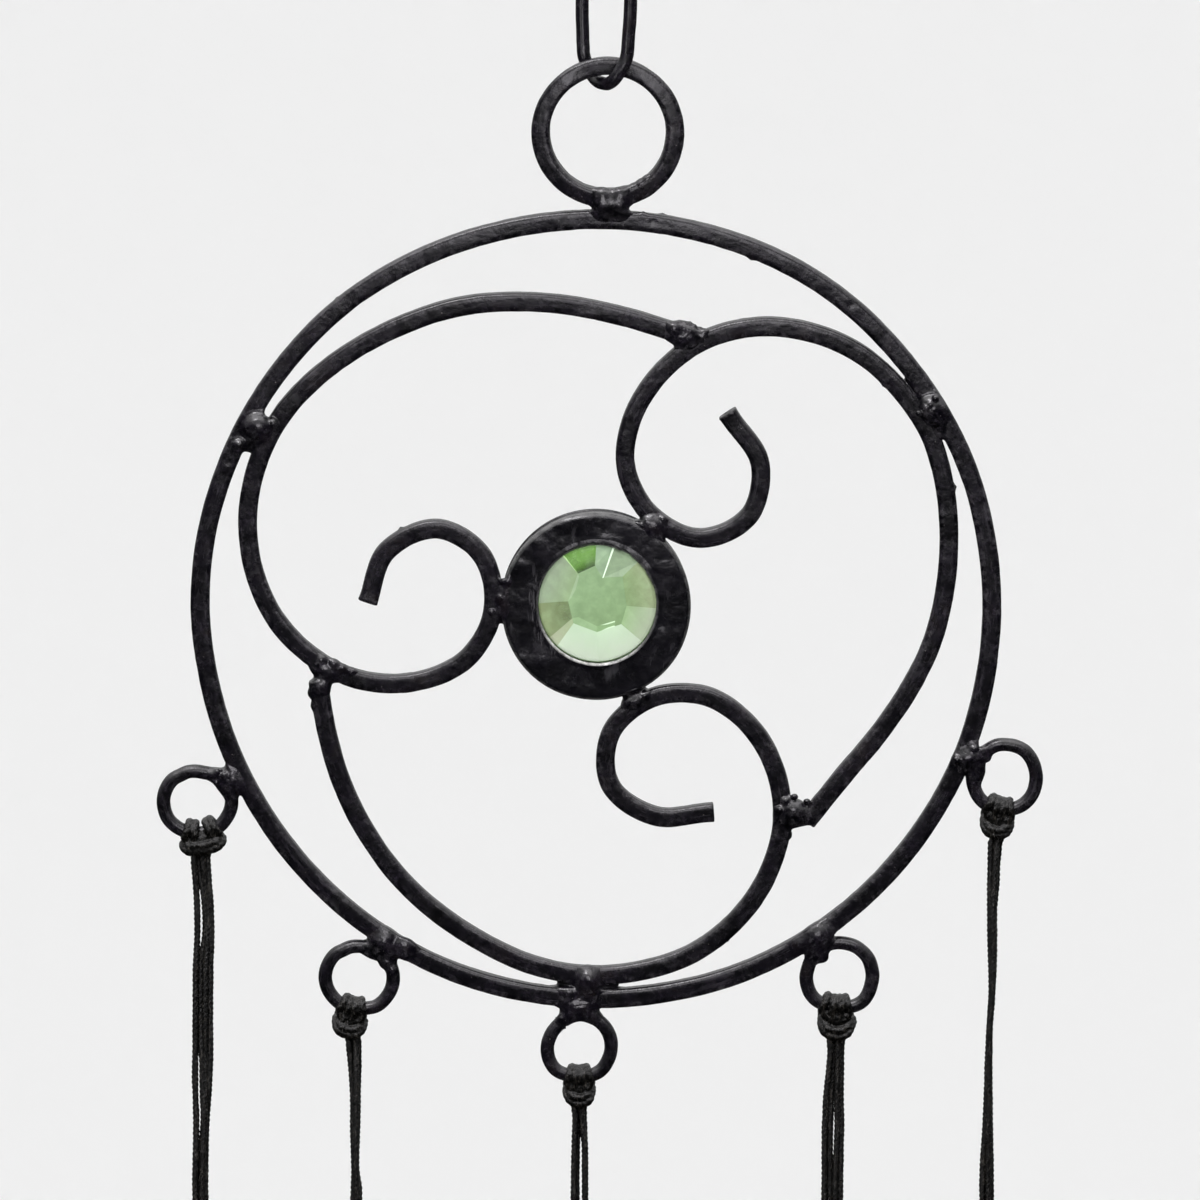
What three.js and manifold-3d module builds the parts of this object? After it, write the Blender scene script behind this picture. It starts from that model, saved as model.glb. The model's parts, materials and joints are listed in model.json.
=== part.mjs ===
// Bell wind chime: a forged hoop with three scrolls round a glass stone, hung from a wire link,
// with five bells on waxed cords. Millimetres, +Z up, seen from the front along +Y.
// The origin is the point where the link hangs: the inner top of its eye.
import * as THREE from 'three';
import { mergeVertices } from 'three/addons/utils/BufferGeometryUtils.js';
import { ConvexGeometry } from 'three/addons/geometries/ConvexGeometry.js';
import Module from 'manifold-3d';

const wasm = await Module();
wasm.setup();

// ---- driving dimensions -------------------------------------------------------------------
const GAP = 0.3; // clearance between touching pieces
const BAR = 3.0; // square bar of hoop, scrolls and top ring

const HOOP = { x: -1.25, z: -121.53, r: 65.95 };
const TOP_RING = { x: 0.58, z: -41.05, r: 11.12, bar: 2.95, edge: 0.75 };
const LINK = { wire: 1.1, bight: -33.7, top: 1.1, half: 5.65, turn: -45 };

const BEZEL = { x: -1.25, z: -121.04, r: 15.6, opening: 9.85, wall: 13.9, front: -2.2, flange: -0.9, back: 0.9 };
const BACK_WASHER = { r: 15.6, hole: 8.6, front: 1.2, back: 2.2 };
const STONE = { girdle: 10.2, table: 5.6, tableY: -3.1, girdleFront: -0.5, girdleBack: 0.4, culet: 3.0, culetY: 2.5 };

// centrelines of the three scroll bars, [x, z]
const SCROLL_LEFT = [
  [12.14, -75.25], [3.48, -72.52], [-5.40, -70.64], [-14.45, -69.96], [-23.49, -70.68], [-32.19, -73.21],
  [-40.34, -77.19], [-47.72, -82.46], [-53.81, -89.17], [-57.79, -97.30], [-59.43, -106.20], [-58.40, -115.19],
  [-54.74, -123.45], [-48.41, -129.90], [-40.26, -133.72], [-31.23, -133.73], [-23.14, -129.86],
  [-18.98, -121.98], [-20.61, -113.24], [-28.06, -108.70], [-36.03, -112.26], [-38.99, -120.63],
];
const SCROLL_BOTTOM = [
  [-47.67, -133.92], [-46.22, -142.81], [-43.66, -151.45], [-39.65, -159.52], [-34.39, -166.84],
  [-27.82, -172.99], [-20.29, -177.95], [-12.09, -181.68], [-3.25, -183.36], [5.72, -182.75], [14.25, -179.87],
  [21.44, -174.49], [26.69, -167.20], [29.39, -158.63], [28.48, -149.72], [24.21, -141.85], [16.91, -136.78],
  [8.04, -136.96], [1.36, -142.71], [1.42, -151.35], [8.55, -156.38], [17.52, -155.95],
];
const SCROLL_RIGHT = [
  [34.28, -156.92], [39.76, -149.84], [45.44, -142.91], [50.48, -135.51], [54.35, -127.44], [56.57, -118.77],
  [57.28, -109.85], [56.52, -100.94], [54.06, -92.35], [49.14, -84.89], [42.53, -78.89], [34.38, -75.26],
  [25.52, -74.21], [16.85, -76.28], [9.69, -81.57], [4.92, -89.09], [3.77, -97.87], [7.86, -105.66],
  [15.81, -109.38], [23.61, -105.76], [25.48, -97.28], [20.71, -89.92],
];

// cord rings: centre, and how far from the lowest point the hitch sits (degrees, + to the left)
const CORD_RING = { r: 5.35, wire: 1.08 };
const CORD_RINGS = [
  { x: -68.08, z: -154.45, hitch: -11.6 },
  { x: -41.01, z: -184.23, hitch: 13.2 },
  { x: -4.25, z: -195.75, hitch: 0 },
  { x: 39.13, z: -183.83, hitch: 2.6 },
  { x: 67.13, z: -150.43, hitch: 13.9 },
];

// hitch, cord and bell, measured down from the ring wire's centre under the hitch
const HITCH = { collar: 2.4, half: 2.3, x: 2.75, y: 2.3, z: 1.9, down: 3.0 };
const PIVOT_DOWN = 5.0; // where the cord leaves the hitch and swings sideways
const CORD = { r: 1.15, gap: 0.8, length: 100 };
// sideways wander of each cord, [mm below its top, mm to the right]
const CORD_WANDER = [
  [[0, 0], [20, -0.2], [45, -0.35], [70, -0.3], [100, 0]],
  [[0, 0], [14, 0.4], [30, 0.65], [65, 0.5], [100, 0]],
  [[0, 0], [30, -0.05], [60, -0.1], [80, -0.05], [100, 0]],
  [[0, 0], [14, -0.4], [30, -0.75], [65, -0.6], [100, 0]],
  [[0, 0], [20, -0.4], [45, -1.0], [65, -1.3], [100, -0.6]],
];
const KNOT = { x: 2.3, y: 2.1, z: 2.2, up: 4.0, bight: 1.85, strand: 0.85 };
const LOOP = { wire: 0.65, eye: 2.5, clapperEye: 1.6 };
const BELL = { hole: 1.05, crown: 1.6, height: 24.6 };
// bell wall, [radius, mm below the crown]
const BELL_OUTSIDE = [[BELL.hole, 0], [4.7, 0.4], [6.8, 3], [7.7, 11], [9.0, 19], [11, 24], [11, BELL.height]];
const BELL_INSIDE = [[9.8, BELL.height], [7.6, 18], [6.3, 10], [5.4, 3.4], [BELL.hole, BELL.crown]];
const CLAPPER = { eye: 1.6, wire: 0.55, ball: 2.6, drop: 13.6 };

// weld beads: centre, half-lengths along the bar, in depth and across it, and the bar's slope in degrees;
// the right one lies on the front of two bars that touch
const WELDS = {
  weld_top_ring: { x: 0.92, z: -53.85, r: [4.0, 2.5, 2.6], slope: 0 },
  weld_hoop_left: { x: -57.5, z: -91.9, r: [3.2, 2.6, 3.0], slope: 61 },
  weld_hoop_right: { x: 54.5, y: -2.0, z: -88.7, r: [3.2, 0.9, 2.7], slope: -59 },
  weld_hoop_bottom: { x: -3.4, z: -185.1, r: [3.6, 2.6, 2.5], slope: 0 },
  weld_left_to_right: { x: 13.3, z: -75.9, r: [3.4, 2.5, 2.5], slope: -10 },
  weld_bottom_to_left: { x: -46.7, z: -132.4, r: [3.2, 2.5, 2.6], slope: -25 },
  weld_right_to_bottom: { x: 31.9, z: -156.4, r: [2.9, 2.5, 2.7], slope: 10 },
  weld_bezel_left: { x: -17.05, z: -119.9, r: [2.0, 2.5, 3.2], slope: 0 },
  weld_bezel_bottom: { x: 5.4, z: -136.5, r: [2.9, 2.5, 1.9], slope: 17 },
  weld_bezel_right: { x: 8.0, z: -107.5, r: [3.0, 2.5, 1.8], slope: -30 },
  weld_ring_1: { x: -62.0, z: -150.9, r: [2.2, 2.4, 2.4], slope: 26 },
  weld_ring_2: { x: -36.9, z: -178.2, r: [2.3, 2.4, 2.2], slope: 57 },
  weld_ring_3: { x: -4.25, z: -189.25, r: [2.6, 2.4, 1.3], slope: 0 },
  weld_ring_4: { x: 35.4, z: -178.1, r: [2.3, 2.4, 2.2], slope: -57 },
  weld_ring_5: { x: 61.0, z: -147.9, r: [2.2, 2.4, 2.6], slope: -24 },
};

// ---- finishes -----------------------------------------------------------------------------
const finish = (color, roughness, metalness) => () => new THREE.MeshStandardMaterial({ color, roughness, metalness });
const BLACK_IRON = finish(0x17171b, 0.42, 0.6);
const WELD_IRON = finish(0x202026, 0.32, 0.7);
const GREEN_GLASS = finish(0xb5d79d, 0.05, 0.0);
const BLACK_CORD = finish(0x141416, 0.7, 0.0);
const AGED_BRASS = finish(0x8a6a35, 0.38, 0.9);

// ---- helpers ------------------------------------------------------------------------------
// a closed geometry as a solid, faces out
function solid(geometry) {
  const g = geometry.index ? geometry.toNonIndexed() : geometry.clone();
  for (const name of Object.keys(g.attributes)) if (name !== 'position') g.deleteAttribute(name);
  const merged = mergeVertices(g, 1e-4);
  const p = merged.attributes.position;
  const index = [];
  let volume = 0;
  const a = new THREE.Vector3(), b = new THREE.Vector3(), c = new THREE.Vector3();
  for (let i = 0; i < merged.index.count; i += 3) {
    const [u, v, w] = [0, 1, 2].map((k) => merged.index.getX(i + k));
    if (u === v || v === w || w === u) continue;
    index.push(u, v, w);
    volume += a.fromBufferAttribute(p, u).dot(b.fromBufferAttribute(p, v).cross(c.fromBufferAttribute(p, w)));
  }
  if (volume < 0) for (let i = 0; i < index.length; i += 3) [index[i + 1], index[i + 2]] = [index[i + 2], index[i + 1]];
  return new wasm.Manifold(new wasm.Mesh({
    numProp: 3, vertProperties: new Float32Array(p.array), triVerts: new Uint32Array(index),
  }));
}

// a solid as a geometry
function geometryOf(body) {
  const m = body.getMesh();
  const v = new Float32Array(m.numVert * 3);
  for (let i = 0; i < m.numVert; i++) v.set(m.vertProperties.subarray(i * m.numProp, i * m.numProp + 3), i * 3);
  const g = new THREE.BufferGeometry();
  g.setAttribute('position', new THREE.BufferAttribute(v, 3));
  g.setIndex(new THREE.BufferAttribute(new Uint32Array(m.triVerts), 1));
  g.computeVertexNormals();
  return g;
}

const polygon = (radius, sides, turn = 0) => new THREE.Shape(Array.from({ length: sides }, (_, i) => {
  const t = turn + (i / sides) * Math.PI * 2;
  return new THREE.Vector2(radius * Math.cos(t), radius * Math.sin(t));
}));
const square = (side) => new THREE.Shape([[1, 1], [-1, 1], [-1, -1], [1, -1]].map(([x, y]) => new THREE.Vector2(x * side / 2, y * side / 2)));

// a section swept along points [x, y, z]
function sweep(points, section, steps, closed = false) {
  const path = new THREE.CatmullRomCurve3(points.map((p) => new THREE.Vector3(...p)), closed, 'centripetal');
  return solid(new THREE.ExtrudeGeometry(section, { steps, extrudePath: path, bevelEnabled: false }));
}

// a ring whose axis is Y, from its closed section [radius, y]
function ring(section, segments, x = 0, y = 0, z = 0) {
  const profile = [...section, section[0]].map(([r, h]) => new THREE.Vector2(r, h));
  return solid(new THREE.LatheGeometry(profile, segments).translate(x, y, z));
}
const box2 = (r, half, side) => [[r - half, -side], [r + half, -side], [r + half, side], [r - half, side]];
const round2 = (r, wire, sides, turn = 0) => Array.from({ length: sides }, (_, i) => {
  const t = turn + (i / sides) * Math.PI * 2;
  return [r + wire * Math.cos(t), wire * Math.sin(t)];
});
// an eye of wire: its axis turned from Y about Z by `turn` degrees
const eye = (r, wire, segments, turn, x, y, z) => solid(
  new THREE.LatheGeometry([...round2(r, wire, 6, Math.PI / 6), round2(r, wire, 6, Math.PI / 6)[0]].map((p) => new THREE.Vector2(...p)), segments)
    .rotateZ(THREE.MathUtils.degToRad(turn)).translate(x, y, z));
// a turned piece on a vertical axis, from its section [radius, z]
function turned(section, segments, x, y, z, closed) {
  const list = closed ? [...section, section[0]] : section;
  return solid(new THREE.LatheGeometry(list.map(([r, h]) => new THREE.Vector2(r, h)), segments).rotateX(Math.PI / 2).translate(x, y, z));
}
const egg = (rx, ry, rz) => new THREE.SphereGeometry(1, 8, 5).rotateX(Math.PI / 2).scale(rx, ry, rz);

// a scroll bar, its two ends let out by `extra`
function bar(line, side, steps, extra = 0) {
  const pts = line.map(([x, z]) => new THREE.Vector3(x, 0, z));
  if (extra > 0) {
    const n = pts.length;
    pts.unshift(pts[0].clone().add(pts[0].clone().sub(pts[1]).setLength(extra)));
    pts.push(pts[n].clone().add(pts[n].clone().sub(pts[n - 1]).setLength(extra)));
  }
  const path = new THREE.CatmullRomCurve3(pts, false, 'centripetal');
  return solid(new THREE.ExtrudeGeometry(square(side), { steps, extrudePath: path, bevelEnabled: false }));
}

const chime = new THREE.Group();
function add(name, body, material) {
  const mesh = new THREE.Mesh(geometryOf(body), material());
  mesh.name = name;
  chime.add(mesh);
  return body;
}

// ---- hanging link and top ring ------------------------------------------------------------
{
  // oval eye in an upright plane turned about Z: an upper and a lower bend that meet half way down the legs
  const { half, top, bight, wire, turn } = LINK;
  const t = THREE.MathUtils.degToRad(turn);
  const middle = (top + bight) / 2;
  const bend = (zc, way) => {
    const points = [[half, middle - way * 0.1]];
    for (let i = 0; i <= 8; i++) points.push([half * Math.cos(way * i * Math.PI / 8), zc + half * Math.sin(way * i * Math.PI / 8)]);
    points.push([-half, middle - way * 0.1]);
    return sweep(points.map(([u, z]) => [u * Math.cos(t), u * Math.sin(t), z]), polygon(wire, 6), 16);
  };
  add('hanging_link', bend(top - half, 1).add(bend(bight + half, -1)), BLACK_IRON);
}
const topSection = (grow) => {
  const h = TOP_RING.bar / 2 + grow, e = h - TOP_RING.edge, r = TOP_RING.r;
  return [[r - h, -e], [r - e, -h], [r + e, -h], [r + h, -e], [r + h, e], [r + e, h], [r - e, h], [r - h, e]];
};
add('top_ring', ring(topSection(0), 20, TOP_RING.x, 0, TOP_RING.z), BLACK_IRON);

// ---- hoop, scrolls, bezel -----------------------------------------------------------------
add('outer_hoop', ring(box2(HOOP.r, BAR / 2, BAR / 2), 44, HOOP.x, 0, HOOP.z), BLACK_IRON);
add('scroll_left', bar(SCROLL_LEFT, BAR, 40), BLACK_IRON);
add('scroll_bottom', bar(SCROLL_BOTTOM, BAR, 40), BLACK_IRON);
add('scroll_right', bar(SCROLL_RIGHT, BAR, 40), BLACK_IRON);

const bezelSection = [
  [BEZEL.opening, BEZEL.front], [BEZEL.r, BEZEL.front], [BEZEL.r, BEZEL.back],
  [BEZEL.wall, BEZEL.back], [BEZEL.wall, BEZEL.flange], [BEZEL.opening, BEZEL.flange],
];
add('bezel_cup', ring(bezelSection, 24, BEZEL.x, 0, BEZEL.z), BLACK_IRON);
add('back_washer', ring([
  [BACK_WASHER.hole, BACK_WASHER.front], [BACK_WASHER.r, BACK_WASHER.front],
  [BACK_WASHER.r, BACK_WASHER.back], [BACK_WASHER.hole, BACK_WASHER.back],
], 24, BEZEL.x, 0, BEZEL.z), BLACK_IRON);

// the stone: an eight-sided table, a round girdle and a shallow back
{
  const points = [];
  const circle = (n, r, y, turn) => {
    for (let i = 0; i < n; i++) {
      const a = turn + (i / n) * Math.PI * 2;
      points.push(new THREE.Vector3(BEZEL.x + r * Math.cos(a), y, BEZEL.z + r * Math.sin(a)));
    }
  };
  circle(8, STONE.table, STONE.tableY, Math.PI / 8);
  circle(24, STONE.girdle, STONE.girdleFront, 0);
  circle(24, STONE.girdle, STONE.girdleBack, 0);
  circle(8, STONE.culet, STONE.culetY, Math.PI / 8);
  add('glass_stone', solid(new ConvexGeometry(points)), GREEN_GLASS);
}

// ---- cord rings ---------------------------------------------------------------------------
CORD_RINGS.forEach((c, i) => add('cord_ring_' + (i + 1),
  ring(round2(CORD_RING.r, CORD_RING.wire, 6, Math.PI / 6), 16, c.x, 0, c.z), BLACK_IRON));

// ---- weld beads: lumps in the corners between the bars ------------------------------------
{
  const grow = GAP;
  const cutters = [
    ring(topSection(grow), 20, TOP_RING.x, 0, TOP_RING.z),
    ring(box2(HOOP.r, BAR / 2 + grow, BAR / 2 + grow), 44, HOOP.x, 0, HOOP.z),
    bar(SCROLL_LEFT, BAR + 2 * grow, 40, grow),
    bar(SCROLL_BOTTOM, BAR + 2 * grow, 40, grow),
    bar(SCROLL_RIGHT, BAR + 2 * grow, 40, grow),
    ring([[BEZEL.wall, BEZEL.front - grow], [BEZEL.r + grow, BEZEL.front - grow],
      [BEZEL.r + grow, BACK_WASHER.back + grow], [BEZEL.wall, BACK_WASHER.back + grow]], 24, BEZEL.x, 0, BEZEL.z),
    ...CORD_RINGS.map((c) => ring(round2(CORD_RING.r, CORD_RING.wire + grow, 6, Math.PI / 6), 16, c.x, 0, c.z)),
  ];
  for (const [name, w] of Object.entries(WELDS)) {
    let bead = solid(egg(w.r[0], w.r[1], w.r[2]).rotateY(THREE.MathUtils.degToRad(-w.slope)).translate(w.x, w.y ?? 0, w.z));
    for (const cutter of cutters) bead = bead.subtract(cutter);
    add(name, bead, WELD_IRON);
  }
}

// ---- hitches, cords and bells -------------------------------------------------------------
CORD_RINGS.forEach((c, i) => {
  const n = i + 1;
  const a = THREE.MathUtils.degToRad(c.hitch);
  // the ring wire's centre under the hitch
  const x = c.x - CORD_RING.r * Math.sin(a), z = c.z - CORD_RING.r * Math.cos(a);

  // hitch: a collar of cord round the wire over the lump of the cross turn; its bore opens at both ends for the ring's curve
  const bore = (s) => CORD_RING.wire + 0.36 + (s * s) / (2 * CORD_RING.r);
  const along = (section, segments, closed) => solid(
    new THREE.LatheGeometry((closed ? [...section, section[0]] : section).map(([r, h]) => new THREE.Vector2(r, h)), segments)
      .rotateZ(Math.PI / 2).rotateY(a).translate(x, 0, z));
  const collar = along([[0.6, -HITCH.half], [HITCH.collar, -HITCH.half], [HITCH.collar, HITCH.half], [0.6, HITCH.half]], 10, true);
  const lump = solid(egg(HITCH.x, HITCH.y, HITCH.z).translate(x, 0, z - HITCH.down));
  const hole = along([[0, -3.6], [bore(3.6), -3.6], [bore(2.3), -2.3], [bore(0), -0.6], [bore(0), 0.6], [bore(2.3), 2.3], [bore(3.6), 3.6], [0, 3.6]], 10, false);
  add('cord_hitch_' + n, collar.add(lump).subtract(hole), BLACK_CORD);

  // cord: from under the hitch down to the knot
  const topZ = z - PIVOT_DOWN - CORD.gap;
  const line = CORD_WANDER[i].map(([down, right]) => [x + right, 0, topZ - down]);
  add('cord_' + n, sweep(line, polygon(CORD.r, 8, Math.PI / 8), 8), BLACK_CORD);

  // bell side: everything hangs from the cord's end
  const bx = line[line.length - 1][0];
  const wireZ = topZ - CORD.length - GAP - KNOT.up - KNOT.z; // top wire of the loop
  const crownZ = wireZ - 2 * LOOP.eye - LOOP.wire - GAP;
  const bight = eye(KNOT.bight, KNOT.strand, 10, 90, bx, 0, wireZ);
  add('bell_knot_' + n, solid(egg(KNOT.x, KNOT.y, KNOT.z).translate(bx, 0, wireZ + KNOT.up)).add(bight), BLACK_CORD);

  const clapperEyeZ = crownZ - BELL.crown - GAP - LOOP.wire - LOOP.clapperEye;
  const stemTop = wireZ - 2 * LOOP.eye, stemEnd = clapperEyeZ + LOOP.clapperEye;
  const stem = solid(new THREE.CylinderGeometry(LOOP.wire, LOOP.wire, stemTop - stemEnd, 6).rotateX(Math.PI / 2).translate(bx, 0, (stemTop + stemEnd) / 2));
  add('bell_loop_' + n, eye(LOOP.eye, LOOP.wire, 12, 0, bx, 0, wireZ - LOOP.eye)
    .add(stem).add(eye(LOOP.clapperEye, LOOP.wire, 10, 90, bx, 0, clapperEyeZ)), AGED_BRASS);

  add('bell_' + n, turned([...BELL_OUTSIDE, ...BELL_INSIDE].map(([r, d]) => [r, -d]), 14, bx, 0, crownZ, true), AGED_BRASS);

  const swingZ = clapperEyeZ - LOOP.clapperEye; // the clapper swings about the wire at the bottom of its eye
  const rodTop = swingZ - CLAPPER.eye, rodEnd = swingZ - CLAPPER.drop;
  const rod = solid(new THREE.CylinderGeometry(CLAPPER.wire, CLAPPER.wire, rodTop - rodEnd, 6).rotateX(Math.PI / 2).translate(bx, 0, (rodTop + rodEnd) / 2));
  add('bell_clapper_' + n, eye(CLAPPER.eye, CLAPPER.wire, 10, 0, bx, 0, swingZ)
    .add(rod).add(solid(egg(CLAPPER.ball, CLAPPER.ball, CLAPPER.ball).translate(bx, 0, rodEnd))), AGED_BRASS);
});

export default chime;
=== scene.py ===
import json
import math

import bpy
import numpy as np
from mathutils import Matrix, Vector

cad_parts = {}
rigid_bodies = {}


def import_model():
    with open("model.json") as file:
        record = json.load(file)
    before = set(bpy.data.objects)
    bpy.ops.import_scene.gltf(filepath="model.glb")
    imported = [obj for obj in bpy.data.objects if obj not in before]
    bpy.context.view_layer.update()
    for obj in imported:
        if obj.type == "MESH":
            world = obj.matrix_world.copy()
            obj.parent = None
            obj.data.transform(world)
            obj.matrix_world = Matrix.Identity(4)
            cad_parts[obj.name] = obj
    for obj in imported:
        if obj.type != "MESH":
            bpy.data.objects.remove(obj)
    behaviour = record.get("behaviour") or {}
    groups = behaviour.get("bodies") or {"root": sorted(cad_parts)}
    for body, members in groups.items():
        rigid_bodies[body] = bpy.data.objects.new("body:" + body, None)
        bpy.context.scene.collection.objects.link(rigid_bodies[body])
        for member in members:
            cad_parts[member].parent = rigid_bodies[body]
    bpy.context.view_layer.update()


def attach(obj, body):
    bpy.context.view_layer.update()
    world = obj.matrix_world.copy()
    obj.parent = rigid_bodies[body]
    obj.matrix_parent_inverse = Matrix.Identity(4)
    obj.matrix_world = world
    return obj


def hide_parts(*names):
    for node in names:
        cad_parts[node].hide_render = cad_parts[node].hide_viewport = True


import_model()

MM = 0.001

# Lengths below are in millimetres, in the frame of the CAD part: X right, Y away from the viewer, Z up.
HOOP = dict(x=-1.25, z=-121.53, r=65.95)
HOOP_OFF = [-.29, -.20, -.01, -.08, -.12, .01, -.03, -.29, -.49, -.54, -.55, -.38, -.11, .18, .21, .23, .25, .31, .16, -.19, -.34, -.38, -.28, -.09, .08, .19, .20,
            .24, .29, .49, .51, .38, .20, .02, -.10, -.29]  # how far the hoop stands off its circle, every 10 degrees from the right, turning upwards
TOP_RING = dict(x=0.58, z=-41.6, r=11.12)
LINK_WIRE = 1.1
LINK_HALF = [(0, 1.1), (2.83, 0.34), (4.89, -1.72), (5.65, -4.55), (5.65, -10), (5.65, -17), (5.62, -22), (5.4, -25), (5.25, -27.2), (5.0, -29), (4.55, -30.8), (3.75, -32.25), (2.1, -33.2), (0, -33.4)]
BEZEL = dict(x=-1.25, z=-121.04)
BAR, BAR_DEEP = 1.57, 1.5  # half the bar's width as seen from the front, and half its depth
SCROLLS = {
    "scroll_left": [
        (12.14, -75.25), (3.48, -72.52), (-5.40, -70.64), (-14.45, -69.96), (-23.49, -70.68), (-32.19, -73.21),
        (-40.34, -77.19), (-47.72, -82.46), (-53.81, -89.17), (-57.79, -97.30), (-59.43, -106.20), (-58.40, -115.19),
        (-54.74, -123.45), (-48.41, -129.90), (-40.26, -133.72), (-31.23, -133.73), (-23.14, -129.86),
        (-18.98, -121.98), (-20.61, -113.24), (-28.06, -108.70), (-36.03, -112.26), (-38.99, -120.63),
    ],
    "scroll_bottom": [
        (-47.67, -133.92), (-46.22, -142.81), (-43.66, -151.45), (-39.65, -159.52), (-34.39, -166.84),
        (-27.82, -172.99), (-20.29, -177.95), (-12.09, -181.68), (-3.25, -183.36), (5.72, -182.75), (14.25, -179.87),
        (21.44, -174.49), (26.69, -167.20), (29.39, -158.63), (28.48, -149.72), (24.21, -141.85), (16.91, -136.78),
        (8.04, -136.96), (1.36, -142.71), (1.42, -151.35), (8.55, -156.38), (17.52, -155.95),
    ],
    "scroll_right": [
        (34.28, -156.92), (39.76, -149.84), (45.44, -142.91), (50.48, -135.51), (54.35, -127.44), (56.57, -118.77),
        (57.28, -109.85), (56.52, -100.94), (54.06, -92.35), (49.14, -84.89), (42.53, -78.89), (34.38, -75.26),
        (25.52, -74.21), (16.85, -76.28), (9.69, -81.57), (4.92, -89.09), (3.77, -97.87), (7.86, -105.66),
        (15.81, -109.38), (23.61, -105.76), (25.48, -97.28), (20.71, -89.92),
    ],
}
# how far each scroll stands to the left of its drawn line: mm along it, mm off it
SCROLL_OFF = {
    "scroll_left": [(0, .05), (12, .12), (24, .08), (36, .07), (48, .17), (60, .14), (72, .05), (84, .02), (96, -.01), (108, -.11), (120, -.16), (132, -.18), (138, -.32),
                    (150, -.38), (162, -.32), (168, -.58), (174, -.37), (180, -.28), (186, -.44), (190, -.45)],
    "scroll_bottom": [(0, -.04), (12, -.05), (24, -.08), (36, -.14), (48, -.19), (60, -.27), (72, -.33), (84, -.28), (90, -.36), (102, -.34), (108, -.30), (114, -.15),
                      (126, -.22), (138, -.22), (144, -.31), (150, -.19), (162, -.20), (168, -.45), (174, -.47), (180, -.44), (186, -.24), (189, -.2)],
    "scroll_right": [(0, -.03), (12, -.22), (24, -.18), (36, -.25), (48, -.10), (60, -.10), (72, -.05), (90, -.04), (102, -.02), (114, .14), (126, .05), (132, .04),
                     (138, -.15), (150, -.26), (162, -.50), (168, -.60), (174, -.50), (180, -.38), (186, -.41)],
}
SCROLL_LONGER = {"scroll_left": (0.0, 0.0), "scroll_bottom": (0.0, 0.55), "scroll_right": (0.8, 1.0)}
RING_R, RING_WIRE = 5.35, 1.15
RING_OFF = [  # how far each cord ring stands off its circle, every 15 degrees
    [.42, .35, .25, .15, .05, -.2, -.1, .05, 0, .15, .15, .18, .2, .15, .1, -.05, -.1, -.05, 0, 0, .12, .35, .39, .43],
    [.29, .3, .28, .2, .15, .1, .06, .09, .05, .3, .33, .31, .22, .1, .04, 0, 0, 0, 0, .08, .3, .25, .19, .24],
    [0, 0, .03, .05, .02, 0, -.1, -.2, -.32, -.41, -.40, -.34, -.15, .04, .21, .3, .15, 0, 0, 0, .05, .09, .01, 0],
    [.29, .3, .38, .33, .32, .28, .28, .2, .1, 0, -.1, -.09, .06, .18, .33, .4, .25, .1, .08, .12, .4, .53, .38, .26],
    [-.41, -.37, -.2, .04, .25, .28, .25, .35, .31, .35, .4, .43, .45, .39, .38, .25, .05, 0, 0, -.1, -.17, -.29, -.36, -.42],
]
RINGS = [(-68.08, -154.45, -11.6), (-41.01, -184.23, 13.2), (-4.25, -195.75, 0.0), (39.13, -183.83, 2.6), (67.13, -150.43, 13.9)]
CORD_WANDER = [
    [(0, 0), (20, -0.2), (45, -0.35), (70, -0.3), (100, 0)],
    [(0, 0), (14, 0.4), (30, 0.65), (65, 0.5), (100, 0)],
    [(0, 0), (30, -0.05), (60, -0.1), (80, -0.05), (100, 0)],
    [(0, 0), (14, -0.4), (30, -0.75), (65, -0.6), (100, 0)],
    [(0, 0), (20, -0.4), (45, -1.0), (65, -1.3), (100, -0.6)],
]
STRAND = 0.52  # radius of one strand of waxed cord


# ---- the camera, at the picture's angle: 9 degrees above the level, from far off ---------------
ELEVATION, AWAY, ACROSS = math.radians(9.0), 4.0, 0.200
target = Vector((-0.75 * MM, 0.0, -120.32 * MM))
camera = bpy.data.objects.new("camera", bpy.data.cameras.new("camera"))
bpy.context.scene.collection.objects.link(camera)
camera.data.sensor_width = 36.0
camera.data.lens = 36.0 * AWAY / ACROSS
camera.data.clip_start, camera.data.clip_end = 0.05, 100.0
towards = Vector((0.0, -math.cos(ELEVATION), math.sin(ELEVATION)))
camera.location = target + towards * AWAY
camera.rotation_mode = "QUATERNION"
camera.rotation_quaternion = (-towards).to_track_quat("-Z", "Y")
bpy.context.scene.camera = camera


# ---- noise --------------------------------------------------------------------------------------
def _grid_value(i, j, k, seed):
    h = (i * 374761393 + j * 668265263 + k * 1440670441 + seed * 974634777) & 0xFFFFFFFF
    h = ((h ^ (h >> 13)) * 1274126177) & 0xFFFFFFFF
    h = h ^ (h >> 16)
    return (h & 0xFFFFFF) / 8388607.5 - 1.0


def noise(p, size, seed=0):
    """Smooth noise from -1 to 1 at points p, with lumps of about that size."""
    q = np.asarray(p, float) / size + 0.37
    i = np.floor(q).astype(np.int64)
    f = q - i
    u = f * f * f * (f * (f * 6 - 15) + 10)
    total = 0.0
    for a in (0, 1):
        wa = u[..., 0] if a else 1 - u[..., 0]
        for b in (0, 1):
            wb = wa * (u[..., 1] if b else 1 - u[..., 1])
            for c in (0, 1):
                w = wb * (u[..., 2] if c else 1 - u[..., 2])
                total = total + w * _grid_value(i[..., 0] + a, i[..., 1] + b, i[..., 2] + c, seed)
    return total


def fbm(p, size, octaves=3, seed=0):
    total, gain = 0.0, 1.0
    for o in range(octaves):
        total = total + gain * noise(p, size, seed + 17 * o)
        size, gain = size * 0.5, gain * 0.5
    return total


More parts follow.
